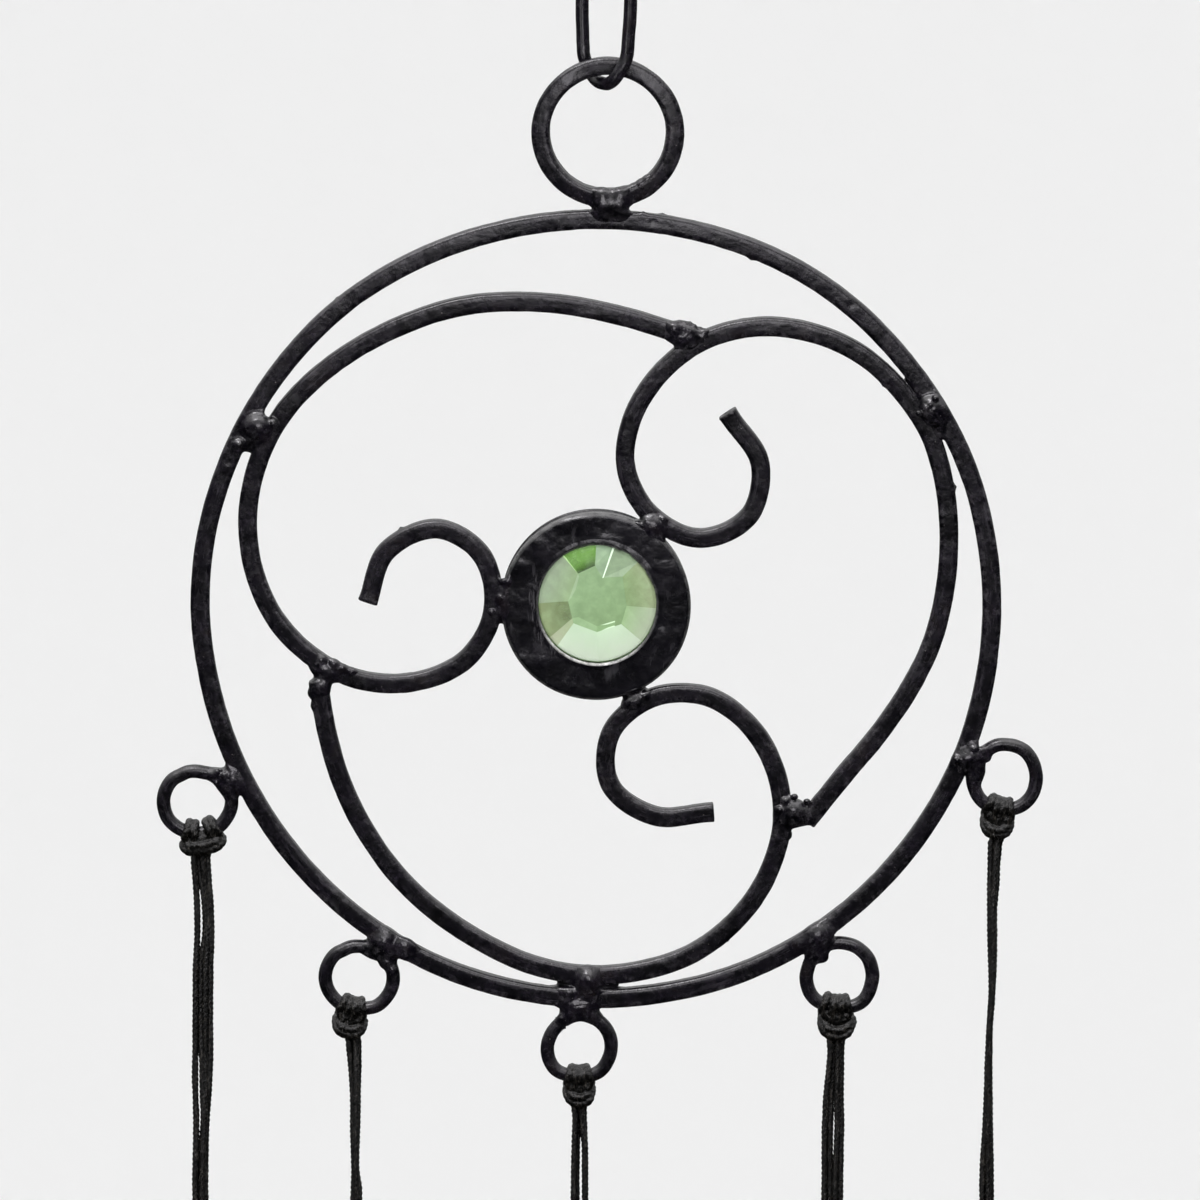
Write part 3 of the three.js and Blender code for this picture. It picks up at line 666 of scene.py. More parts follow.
# Each cord's four strands lie as a flat ribbon that turns on itself: mm below the ring wire, left edge and right edge
# of the ribbon (mm from the hitch), and where the two inner strands lie between the outer ones, from -1 to 1.
RIBBONS = [
    [(5.2, -2.05, 1.22), (8.2, -1.78, 1.45, -.2, .35), (9.6, -1.7, 1.54, .02, .45), (11.5, -1.57, 1.72, .12, .5), (13.3, -1.53, 1.82, .18, .6), (16, -1.5, 1.85, .16, .5),
     (18.2, -1.55, 1.83, .05, .45), (19.6, -1.62, 1.8, -.2, .4), (23.4, -1.85, 1.67), (29.5, -1.85, 1.62, -.3, .3), (37.2, -1.92, 1.65, -.2, .35), (39.0, -1.94, 1.6, -.02, .4),
     (41.6, -1.98, 1.48, .02, .45), (45.7, -1.87, 1.22, .2, .5), (47.7, -1.78, 1.05, .42, .6), (50.2, -1.8, .92, .38, .55), (52.6, -1.84, .83, .05, .4), (59.9, -2.03, .7, -.2, .3),
     (80, -1.5, 1.1), (95, -1.1, 1.2), (106, -1.1, 1.1)],
    [(6.1, -1.03, 1.63), (10.2, -.6, 1.63), (14.2, -.33, 1.48), (20.3, -.32, 1.4), (24.4, -.22, 1.23), (26.4, -.12, 1.17), (28.4, -.18, 1.3), (30.4, -.23, 1.68),
     (45, -.9, 1.7), (60, -.7, 1.5), (80, -1.1, 1.4), (95, -1.2, 1.1), (106, -1.1, 1.1)],
    [(4.6, -1.45, 1.4, -.4, .4), (6.3, -1.12, 1.28, -.5, .5), (9.2, -1.2, 1.42, -.5, .65), (10.6, -1.25, 1.46, -.52, .95), (12, -1.28, 1.5, -.54, 1), (18.4, -1.4, 1.52, -.5, 1), (25, -1.42, 1.52, -.5, 1),
     (40, -1.3, 1.4, -.4, .4), (60, -1.1, 1.0), (80, -1.3, 1.3), (95, -1.1, 1.2), (106, -1.1, 1.1)],
    [(5.2, -1.87, 1.33), (7.3, -1.6, 1.24), (11.3, -1.96, 1.14, -.33, .4), (15.4, -2.37, 1.14, -.33, .45), (19.4, -2.54, 1.23, -.33, .55), (23.4, -2.6, 1.16, -.33, .52),
     (28, -2.6, 1.1), (32, -2.62, 1.08), (40, -2.4, 1.0), (50, -2.1, 1.0), (65, -1.7, .9), (80, -1.4, 1.1), (95, -1.1, 1.2), (106, -1.1, 1.1)],
    [(5.0, -1.86, .65), (9.1, -1.9, .29), (13.1, -2.0, .12), (17.2, -2.0, -.25), (23.2, -1.9, -.2), (27.3, -1.75, -.26), (31.3, -1.68, -.51), (33.4, -1.78, -.7),
     (37.4, -2.06, -.96), (43.5, -2.33, -.96), (49.6, -2.48, -.88), (55.7, -2.8, -.8), (59.7, -3.08, -.68), (63.7, -3.2, -.7), (75, -2.9, -.5), (90, -2.2, .1), (106, -1.7, .5)],
]
# each hitch: how far its outer and inner wraps stand from its middle, half the width of its cross turn, how deep under
# the wire the turn's upper and lower strands cross and where they leave the sides, and how wide its legs stand
HITCHES = [(2.3, 1.15, 3.32, 1.80, 2.70, 0.75, 1.38), (1.8, 0.6, 2.38, 3.25, 4.20, 1.30, 1.0), (1.75, 0.58, 2.18, 3.20, 4.20, 1.30, 0.95),
           (1.9, 0.6, 2.6, 3.70, 4.75, 1.45, 1.2), (1.95, 0.62, 2.28, 3.35, 4.25, 1.30, 0.95)]
LEGS = np.array([(-0.80, -0.15), (-0.32, -0.90), (0.32, -0.80), (0.80, -0.10)])  # x and y of the four legs behind the cross turn
HITCH_STRAND = 0.56


def ribbon(i, down):
    """Middles of the four strands of cord i, (rows, 4, 2) in x and y from the hitch, at those depths."""
    keys = np.array([k if len(k) == 5 else (*k, -0.33, 0.33) for k in RIBBONS[i]], float)
    soft = np.ones(7) / 7
    left, right, p1, p2 = (np.convolve(np.pad(np.interp(down, keys[:, 0], keys[:, k]), 3, mode="edge"), soft, mode="valid") for k in (1, 2, 3, 4))
    mid, wide = (left + right) / 2, np.maximum(right - left - 2 * STRAND, 0.06)
    x = np.stack([mid - wide / 2, mid + p1 * wide / 2, mid + p2 * wide / 2, mid + wide / 2], axis=-1)
    clear = lambda d: np.sqrt(np.maximum(0, 0.98**2 - d * d))  # how far in depth two strands must part
    y1 = clear(x[:, 1] - x[:, 0])
    y2 = -clear(x[:, 2] - x[:, 0])
    y = np.stack([0 * y1, y1, y2, y1 + clear(x[:, 3] - x[:, 1])], axis=-1)
    y = np.stack([np.convolve(np.pad(k, 6, mode="edge"), np.ones(13) / 13, mode="valid") for k in y.T], axis=-1)
    return np.stack([x, y - y.mean(1, keepdims=True)], axis=-1)


for i in range(5):
    n = i + 1
    x0, z0, lean = hanger(i)
    cx, cz, _ = RINGS[i]
    top = z0 - 5.8
    end_x = x0 + CORD_WANDER[i][-1][1]
    wire_z = top - 106.5

    # the cord: four strands from behind the hitch's cross turn down into the bell's knot
    outer, inner, wide, upper, lower, side_z, legs_wide = HITCHES[i]
    legs = LEGS * np.array([legs_wide, 1.0])
    down = np.concatenate([np.linspace(upper, 8.0, 22), np.linspace(8.3, 108.4, 330)])
    settle = smooth_step(upper + 0.6, upper + 2.6, down)[:, None, None]
    lie = legs[None] * (1 - settle) + ribbon(i, down) * settle
    gather = smooth_step(104.0, 108.0, down)[:, None, None]
    lie = lie * (1 - 0.45 * gather) + np.array([end_x - x0, 0.0])[None, None] * 0.45 * gather
    cord = Shape()
    for k in range(4):
        line = np.stack([x0 + lie[:, k, 0], lie[:, k, 1], z0 - down], axis=-1)
        cord.add(*strand(line, phase=1.3 * k + n, seed=40 * n + k, smooth=False))
    cord_piece = cord.build(f"cord_strands_{n}", CORD, f"drop_{n}", "black_cord", [f"cord_{n}"])

    # the hitch: two doubled wraps over the ring's wire, and the doubled cross turn in front that holds the legs
    def on_wire(s, y, h):
        a, rho = lean - s / RING_R, RING_R - h
        return (cx - rho * math.sin(a), y, cz - rho * math.cos(a))

    def below(x, y, h, share=0.9 if i == 0 else 0.6):
        a, x = lean * share, x - (0.3 * smooth_step(0.0, -1.2, h) if i == 0 else 0.0)
        return (x0 + x * math.cos(a) + h * math.sin(a), y, z0 - x * math.sin(a) + h * math.cos(a))

    turns = []
    thick = HITCH_STRAND + (0.10 if i == 0 else 0.05)
    hug, over = RING_WIRE + 0.46, RING_WIRE + (0.62 if i == 0 else 0.44)  # the turns are drawn tight, so they lie flattened on the wire
    for k, (s_each, bx, depth, side, leg) in enumerate(((inner, wide - 0.45, upper, side_z, 1), (outer, wide, lower, side_z + 0.55, 0))):
        def half(way, leg):
            lx, ly = legs[leg]
            s = s_each * (1.22 if i in (0, 3) and way < 0 else 1.0)
            pts = [below(lx, ly + 0.1, -lower, 0.0), below(lx, ly, -0.5 * (upper + lower), 0.0), below(lx, ly - 0.2, -0.95 * upper, 0.1)]
            if upper > 2.5:
                pts.append(below(0.75 * lx + 0.25 * way * s, -1.35, -2.2, 0.4))
            for deg in (-30, 0, 30, 60, 90, 120, 150, 180, 202):
                f = math.radians(deg)
                pts.append(on_wire(way * s, -hug * math.cos(f), over * math.sin(f)))
            fall = depth - side
            pts.append(below(way * (s + 0.3), 1.55, -1.3))
            pts.append(below(way * (0.25 * s + 0.75 * bx), 1.05, -(side + 0.25)))
            pts.append(below(way * bx, 0.1, -side))
            pts.append(below(way * 0.985 * bx, -0.95, -(side + 0.35 * fall)))
            pts.append(below(way * 0.72 * bx, -1.88, -(side + 0.8 * fall)))
            pts.append(below(way * 0.36 * bx, -2.0, -(depth - 0.06)))
            return pts

        one, two = half(-1, leg), half(1, 3 - leg)
        turns.append((one + [below(0.0, -2.0, -depth)] + two[::-1], thick))
    # the short turns that lie between the wraps, behind the cross turn
    for k, x in enumerate((-0.42, 0.42) if i == 0 else (0.0,)):
        y = -1.45 if i == 0 else -0.75
        points = [below(x, y + 0.7, 0.35), below(x, y, -0.75), below(x, y, -0.5 * upper - 0.6), below(x, -0.75, -upper), below(x, -0.55, -lower, 0.0)]
        turns.append((points, HITCH_STRAND - 0.04))
    hitch = Shape().add(*waxed_together(turns, 200 + 10 * n))
    hitch_piece = hitch.build(f"cord_hitch_turns_{n}", CORD, f"hitch_{n}", "black_cord", [f"cord_hitch_{n}"])

    # the knot over the bell: a barrel of turns, a doubled bight through the loop, and two cut tails
    knot = Shape()
    turns = []
    for t in np.linspace(0, 1, 90):
        a = 2 * math.pi * 3.6 * t + 0.6 * n
        r = 1.62 * (0.62 + 0.38 * math.sin(math.pi * min(max((t - 0.02) / 0.96, 0), 1)) ** 0.5)
        r *= smooth_step(-0.05, 0.10, t) * smooth_step(1.05, 0.90, t)
        turns.append((end_x + r * math.cos(a), r * math.sin(a), wire_z + 5.95 - 3.5 * t + 0.12 * math.sin(a)))
    knot.add(*strand(turns, radius=0.55, step=0.32, phase=n, seed=300 + n))
    for k, side in enumerate((-0.56, 0.56)):
        loop = [(end_x + 0.5 * side, -0.35, wire_z + 3.6), (end_x + 0.8 * side, -1.05, wire_z + 2.3)]
        for deg in np.linspace(-40, 220, 11):
            f = math.radians(deg)
            loop.append((end_x + side, -1.26 * math.cos(f), wire_z - 1.26 * math.sin(f)))
        loop += [(end_x + 0.8 * side, 1.05, wire_z + 2.3), (end_x + 0.5 * side, 0.35, wire_z + 3.6)]
        knot.add(*strand(loop, step=0.3, phase=k, seed=320 + 10 * n + k, first=(1, 0, 0)))
    for k, side in enumerate((-1, 1)):
        reach = 2.3 + 0.35 * ((n + k) % 3)
        tail = [(end_x + 0.2 * side, -0.5 * side, wire_z + 3.6), (end_x + 1.0 * side, -1.35 * side, wire_z + 2.7),
                (end_x + 1.75 * side, -1.75 * side, wire_z + 1.7), (end_x + reach * side, -1.95 * side, wire_z + 0.5 - 0.4 * ((n + k) % 2))]
        knot.add(*strand(tail, step=0.3, phase=2 * k, seed=340 + 10 * n + k, ends=((0.0, 1.0), (0.10, 1.05), (0.16, 0.92))))
    knot_piece = knot.build(f"bell_knot_turns_{n}", CORD, f"drop_{n}", "black_cord", [f"bell_knot_{n}"])


# ---- square bars --------------------------------------------------------------------------------
def square_section(corner, per_corner=5, per_side=3):
    """Unit square section with rounded corners: points, outward directions, and how near each is to a corner."""
    pts, out, edge = [], [], []
    c = 1 - corner
    for q in range(4):
        a0 = q * math.pi / 2
        mx, my = ((c, c), (-c, c), (-c, -c), (c, -c))[q]
        for k in range(per_corner):
            a = a0 + (k / (per_corner - 1)) * math.pi / 2
            pts.append((mx + corner * math.cos(a), my + corner * math.sin(a)))
            out.append((math.cos(a), math.sin(a)))
            edge.append(1.0 - 0.35 * abs(k / (per_corner - 1) - 0.5) * 2)
        ex, ey = pts[-1]
        nx, ny = ((-c, c + corner), (-c - corner, -c), (c, -c - corner), (c + corner, c))[q]
        for k in range(1, per_side + 1):
            f = k / (per_side + 1)
            pts.append((ex + (nx - ex) * f, ey + (ny - ey) * f))
            a = a0 + math.pi / 2
            out.append((math.cos(a), math.sin(a)))
            edge.append(0.12 if k in (1, per_side) else 0.0)
    return np.array(pts), np.array(out), np.array(edge)


# small scars: place (x, y, z), reach and height, below zero for a nick
SCARS = [
    (6.3, -1.0, -55.2, 0.7, 0.32), (9.7, 0.3, -55.6, 0.8, 0.28), (8.0, -1.5, -56.2, 0.5, -0.22), (24.6, -0.6, -62.2, 0.9, 0.35),
    (-34.1, 0.0, -107.6, 0.45, 0.42), (57.9, -0.2, -101.4, 0.45, 0.40), (47.5, -1.4, -84.2, 0.6, -0.2), (46.2, -1.5, -84.4, 0.4, 0.22),
    (-2.2, -0.8, -180.9, 0.5, 0.3), (-45.2, -1.4, -140.0, 0.5, 0.18), (-49.2, -0.4, -138.1, 1.1, 0.35), (-44.2, 0.0, -69.8, 0.6, 0.2),
    (-62.9, -1.0, -98.0, 0.8, 0.16), (41.0, -0.6, -70.3, 0.8, -0.18), (-60.1, -1.0, -129.0, 0.9, 0.14), (20.9, 0.0, -178.0, 0.6, 0.2),
]


def forged(line2, seed, closed=False, half=BAR, depth=BAR_DEEP, corner=0.46, step=0.45, rough=0.55, flare=0.0, cone=0.0, worn=None):
    """A hand-forged square bar along a line in the XZ plane; cone is how many degrees its face leans outwards, worn the share of its depth that is rubbed away."""
    if closed:
        line2 = resample(np.vstack([line2, line2[:1]]), step)[:-1]
    else:
        line2 = resample(line2, step)
    line = np.stack([line2[:, 0], np.zeros(len(line2)), line2[:, 1]], axis=-1)
    t = tangents(line, closed)
    b = np.tile(np.array([0.0, 1.0, 0.0]), (len(line), 1))
    n = np.cross(t, b)
    unit, out, edge = square_section(corner)
    across = half * (1 + 0.022 * rough * noise(line, 9.0, seed) + 0.012 * rough * noise(line, 3.5, seed + 1))
    deep = depth * (1 + 0.022 * rough * noise(line, 8.0, seed + 2)) * (1 - (worn(line) if worn else 0))
    twist = math.radians(2.6) * rough * noise(line, 16.0, seed + 3) - np.radians(cone(line) if callable(cone) else cone)
    sec = np.repeat(unit[None], len(line), axis=0) * np.stack([across, deep], axis=-1)[:, None]
    dirs = np.repeat(out[None], len(line), axis=0)
    co, si = np.cos(twist)[:, None], np.sin(twist)[:, None]
    turn = lambda v: np.stack([v[..., 0] * co - v[..., 1] * si, v[..., 0] * si + v[..., 1] * co], axis=-1)
    sec, dirs = turn(sec), turn(dirs)
    skin = line[:, None] + sec[..., :1] * n[:, None] + sec[..., 1:] * b[:, None]
    lift = 0.045 * rough * noise(skin, 4.2, seed + 4) + 0.030 * rough * noise(skin, 1.7, seed + 5) + 0.014 * rough * noise(skin, 0.8, seed + 6)
    dents = noise(skin, 2.8, seed + 7)
    lift -= 0.06 * rough * smooth_step(0.42, 0.75, dents)
    lift -= 0.06 * rough * edge * smooth_step(0.2, 0.6, noise(skin, 1.3, seed + 8))
    for x, y, z, reach, high in SCARS:
        d2 = ((skin - np.array([x, y, z])) ** 2).sum(-1)
        if d2.min() > 1.2**2:
            continue
        on = skin.reshape(-1, 3)[np.argmin(d2)]
        d2 = ((skin - on) ** 2).sum(-1)
        lift += high * np.exp(-d2 / (2 * max(0.35, 0.5 * reach) ** 2))
    sec = sec + dirs * lift[..., None]
    wear = np.repeat(edge[None], len(line), axis=0) * (0.55 + 0.45 * noise(skin, 6.0, seed + 9))
    girth = half * along(unit)
    lay = np.stack(np.broadcast_arrays(line[:, :1] / 7, girth[None], line[:, 2:] / 7), axis=-1)
    if closed:
        v, f = swept(line, n, b, sec, closed=True)
        return v, f, wear, lay
    s = along(line)
    if flare:
        grow = 1 + flare * np.exp(-(s[-1] - s) / 0.7)
        sec = sec * grow[:, None, None]
    ends = ((0.0, 1.0), (0.10, 0.975), (0.16, 0.90), (0.19, 0.70), (0.17, 0.35))
    v, f = swept(line, n, b, sec, ends=ends, t=t)
    k = len(ends) - 1
    wear = np.vstack([np.repeat(wear[:1], k, axis=0) * 0.5, wear, np.repeat(wear[-1:], k, axis=0) * 0.5]).reshape(-1)
    lay = np.concatenate([np.repeat(lay[:1], k, axis=0), lay, np.repeat(lay[-1:], k, axis=0)]).reshape(-1, 3)
    return v, f, np.concatenate([wear, [0, 0]]), np.vstack([lay, lay[:1], lay[-1:]])


def around_table(table, a):
    """Values given at even steps round a circle, read smoothly at angles a."""
    v, n = np.array(table, float), len(table)
    x = np.mod(a, 2 * math.pi) / (2 * math.pi) * n
    i = np.floor(x).astype(int)
    f = x - i
    p0, p1, p2, p3 = (v[(i + k) % n] for k in (-1, 0, 1, 2))
    return p1 + 0.5 * f * (p2 - p0 + f * (2 * p0 - 5 * p1 + 4 * p2 - p3 + f * (3 * (p1 - p2) + p3 - p0)))


def uneven(a, off, seed):
    return off * (np.sin(2 * a + seed) + 0.6 * np.sin(3 * a + 2 * seed) + 0.4 * np.sin(5 * a + 3 * seed))


def hoop_radius(a):
    return HOOP["r"] + uneven(a, 0.10, 1.0) + around_table(HOOP_OFF, a)


def top_ring_radius(a):
    return TOP_RING["r"] + uneven(a, 0.05, 2.0)


def cord_ring_radius(i, a):
    return RING_R + uneven(a, 0.07, 0.9 * i + 0.4) + around_table(RING_OFF[i], a)


def circle(cx, cz, radius, count=720):
    a = np.arange(count) / count * 2 * math.pi
    rr = radius(a)
    return np.stack([cx + rr * np.cos(a), cz + rr * np.sin(a)], axis=-1)


def scroll_line(name):
    line = resample(spline(SCROLLS[name]), 0.5)
    keys = np.array(SCROLL_OFF[name])
    off = np.interp(along(line), keys[:, 0], keys[:, 1])
    off = np.convolve(np.pad(off, 8, mode="edge"), np.ones(17) / 17, mode="valid")
    t = tangents(line)
    line = line + off[:, None] * np.stack([-t[:, 1], t[:, 0]], axis=-1)
    before, after = SCROLL_LONGER[name]
    first, last = tangents(line)[[0, -1]]
    return np.vstack([line[:1] - first * before, line[1:-1], line[-1:] + last * after])


LINES = {k: scroll_line(k) for k in SCROLLS}
Shape().add(*forged(circle(HOOP["x"], HOOP["z"], hoop_radius), 11, closed=True, half=1.58, cone=1.0)).build("hoop_bar", IRON, "frame", "black_iron", ["outer_hoop"])
Shape().add(*forged(LINES["scroll_left"], 31, flare=0.06)).build("scroll_bar_left", IRON, "frame", "black_iron", ["scroll_left"])
Shape().add(*forged(LINES["scroll_bottom"], 51, flare=0.02)).build("scroll_bar_bottom", IRON, "frame", "black_iron", ["scroll_bottom"])
Shape().add(*forged(LINES["scroll_right"], 71, flare=0.06)).build("scroll_bar_right", IRON, "frame", "black_iron", ["scroll_right"])


def from_bearing(line):
    """0 where the link bears on the top ring, 1 away from there."""
    off = np.abs(np.degrees(np.arctan2(line[:, 2] - TOP_RING["z"], line[:, 0] - TOP_RING["x"])) - 93)
    return smooth_step(14, 40, np.minimum(off, 360 - off))


Shape().add(*forged(circle(TOP_RING["x"], TOP_RING["z"], top_ring_radius), 91, closed=True, half=1.50, depth=1.45, corner=0.46, step=0.4, rough=0.6,
                    cone=lambda line: 6.0 * from_bearing(line), worn=lambda line: 0.24 * (1 - from_bearing(line)))).build(
    "top_ring_bar", IRON, "frame", "black_iron", ["top_ring"])


# ---- wire: the hanging link and the cord rings --------------------------------------------------
def closed_wire(points, radius, seed, around=18, lumps=0.03, step=0.35, swell=None):
    line = resample(np.vstack([points, points[:1]]), step)[:-1]
    t = tangents(line, True)
    centre = line.mean(0)
    normal = np.cross(line[0] - centre, line[len(line) // 4] - centre)
    b = np.tile(normal / np.linalg.norm(normal), (len(line), 1))
    n = np.cross(t, b)
    n = n / np.linalg.norm(n, axis=1, keepdims=True)
    b = np.cross(n, t)
    a = np.arange(around) / around * 2 * math.pi
    sec = np.repeat(np.stack([np.cos(a), np.sin(a)], axis=-1)[None], len(line), axis=0) * radius
    skin = line[:, None] + sec[..., :1] * n[:, None] + sec[..., 1:] * b[:, None]
    lift = lumps * fbm(skin, 3.0, 3, seed) + 0.35 * lumps * noise(skin, 0.8, seed + 5)
    if swell is not None:
        lift = lift + swell(line)[:, None]
    sec = sec * (1 + lift / radius)[..., None]
    wear = 0.25 + 0.25 * noise(skin, 4.0, seed + 3)
    girth = radius * np.mod(a - 1.5 * math.pi, 2 * math.pi)
    lay = np.stack(np.broadcast_arrays(line[:, :1] / 7, girth[None] + line[:, 1:2] / 7, line[:, 2:] / 7), axis=-1)
    v, f = swept(line, n, b, sec, closed=True)
    return v, f, wear, lay


def link_line():
    right = LINK_HALF[:-1]
    left = [(-u, z) for u, z in LINK_HALF[:0:-1]]
    u = right + left
    u = spline(u[-3:] + u + u[:4])[3 * 24: (3 + len(u)) * 24]
    turn = np.radians(-45.0 - 17.0 * smooth_step(-28.5, -33.5, u[:, 1]))
    lean = np.interp(u[:, 1], [-36, -33, -28, -19, -10, 1.2], [-0.37, -0.30, 0.12, 0.32, 0.30, 0.0])
    return np.stack([u[:, 0] * np.cos(turn) + lean, u[:, 0] * np.sin(turn), u[:, 1]], axis=-1)


def cut_end(line):
    """On the third ring the wire's cut end stands beside its other end: a ridge and a groove."""
    deg = np.degrees(np.arctan2(line[:, 2] - RINGS[2][1], line[:, 0] - RINGS[2][0])) % 360
    return 0.15 * np.exp(-((deg - 128.5) / 2.2) ** 2) - 0.25 * np.exp(-((deg - 123.5) / 1.6) ** 2)


Shape().add(*closed_wire(link_line(), LINK_WIRE, 111, lumps=0.02)).build("hanging_link_wire", IRON, "hanger", "black_iron", ["hanging_link"])
for i, (x, z, _) in enumerate(RINGS):
    line = circle(x, z, lambda a: cord_ring_radius(i, a), count=240)
    line = np.stack([line[:, 0], np.zeros(len(line)), line[:, 1]], axis=-1)
    Shape().add(*closed_wire(line, RING_WIRE, 130 + 10 * i, step=0.2 if i == 2 else 0.35, swell=cut_end if i == 2 else None)).build(f"cord_ring_wire_{i + 1}", IRON, "frame", "black_iron", [f"cord_ring_{i + 1}"])


# ---- weld beads: drops of metal run into the corners between the bars --------------------------
def soft_min(a, b, k):
    h = np.clip(0.5 + 0.5 * (b - a) / k, 0, 1)
    return b * (1 - h) + a * h - k * h * (1 - h)


def box_distance(q, r):
    q = [k + r for k in q]
    outside = np.sqrt(sum(np.maximum(k, 0) ** 2 for k in q))
    inside = np.minimum(np.maximum.reduce(q), 0)
    return outside + inside - r


def ring_distance(p, cx, cz, radius, half_r, half_y, corner):
    x, z = p[..., 0] - cx, p[..., 2] - cz
    rho = np.hypot(x, z) - radius(np.arctan2(z, x))
    return box_distance([np.abs(rho) - half_r, np.abs(p[..., 1]) - half_y], corner)


def wire_distance(p, i):
    x, z = p[..., 0] - RINGS[i][0], p[..., 2] - RINGS[i][1]
    rho = np.hypot(x, z) - cord_ring_radius(i, np.arctan2(z, x))
    return np.hypot(rho, p[..., 1]) - RING_WIRE


def bar_distance(p, line, near, reach):
    line = resample(line, 0.6)
    keep = np.where(np.hypot(line[:, 0] - near[0], line[:, 1] - near[1]) < reach + 3)[0]
    if len(keep) < 2:
        return np.full(p.shape[:-1], 50.0)
    line = line[keep[0]: keep[-1] + 1]
    best = np.full(p.shape[:-1], 1e9)
    along_n, along_t = np.zeros_like(best), np.zeros_like(best)
    for a, b in zip(line[:-1], line[1:]):
        d = b - a
        long = np.hypot(*d)
        t = np.clip(((p[..., 0] - a[0]) * d[0] + (p[..., 2] - a[1]) * d[1]) / long**2, 0, 1)
        vx, vz = p[..., 0] - a[0] - t * d[0], p[..., 2] - a[1] - t * d[1]
        far = vx * vx + vz * vz
        nearer = far < best
        best = np.where(nearer, far, best)
        along_t = np.where(nearer, np.abs(vx * d[0] + vz * d[1]) / long, along_t)
        along_n = np.where(nearer, np.abs(vx * d[1] - vz * d[0]) / long, along_n)
    return box_distance([along_n - BAR, np.abs(p[..., 1]) - BAR_DEEP, along_t - 0.02], 0.35)


def ellipsoid_distance(p, centre, radii, slope):
    a = math.radians(slope)
    d = p - np.array(centre)
    u = d[..., 0] * math.cos(a) + d[..., 2] * math.sin(a)
    w = -d[..., 0] * math.sin(a) + d[..., 2] * math.cos(a)
    q = np.stack([u, d[..., 1], w], axis=-1)
    r = np.array(radii)
    k0 = np.linalg.norm(q / r, axis=-1)
    k1 = np.maximum(np.linalg.norm(q / r**2, axis=-1), 1e-6)
    return k0 * (k0 - 1) / k1


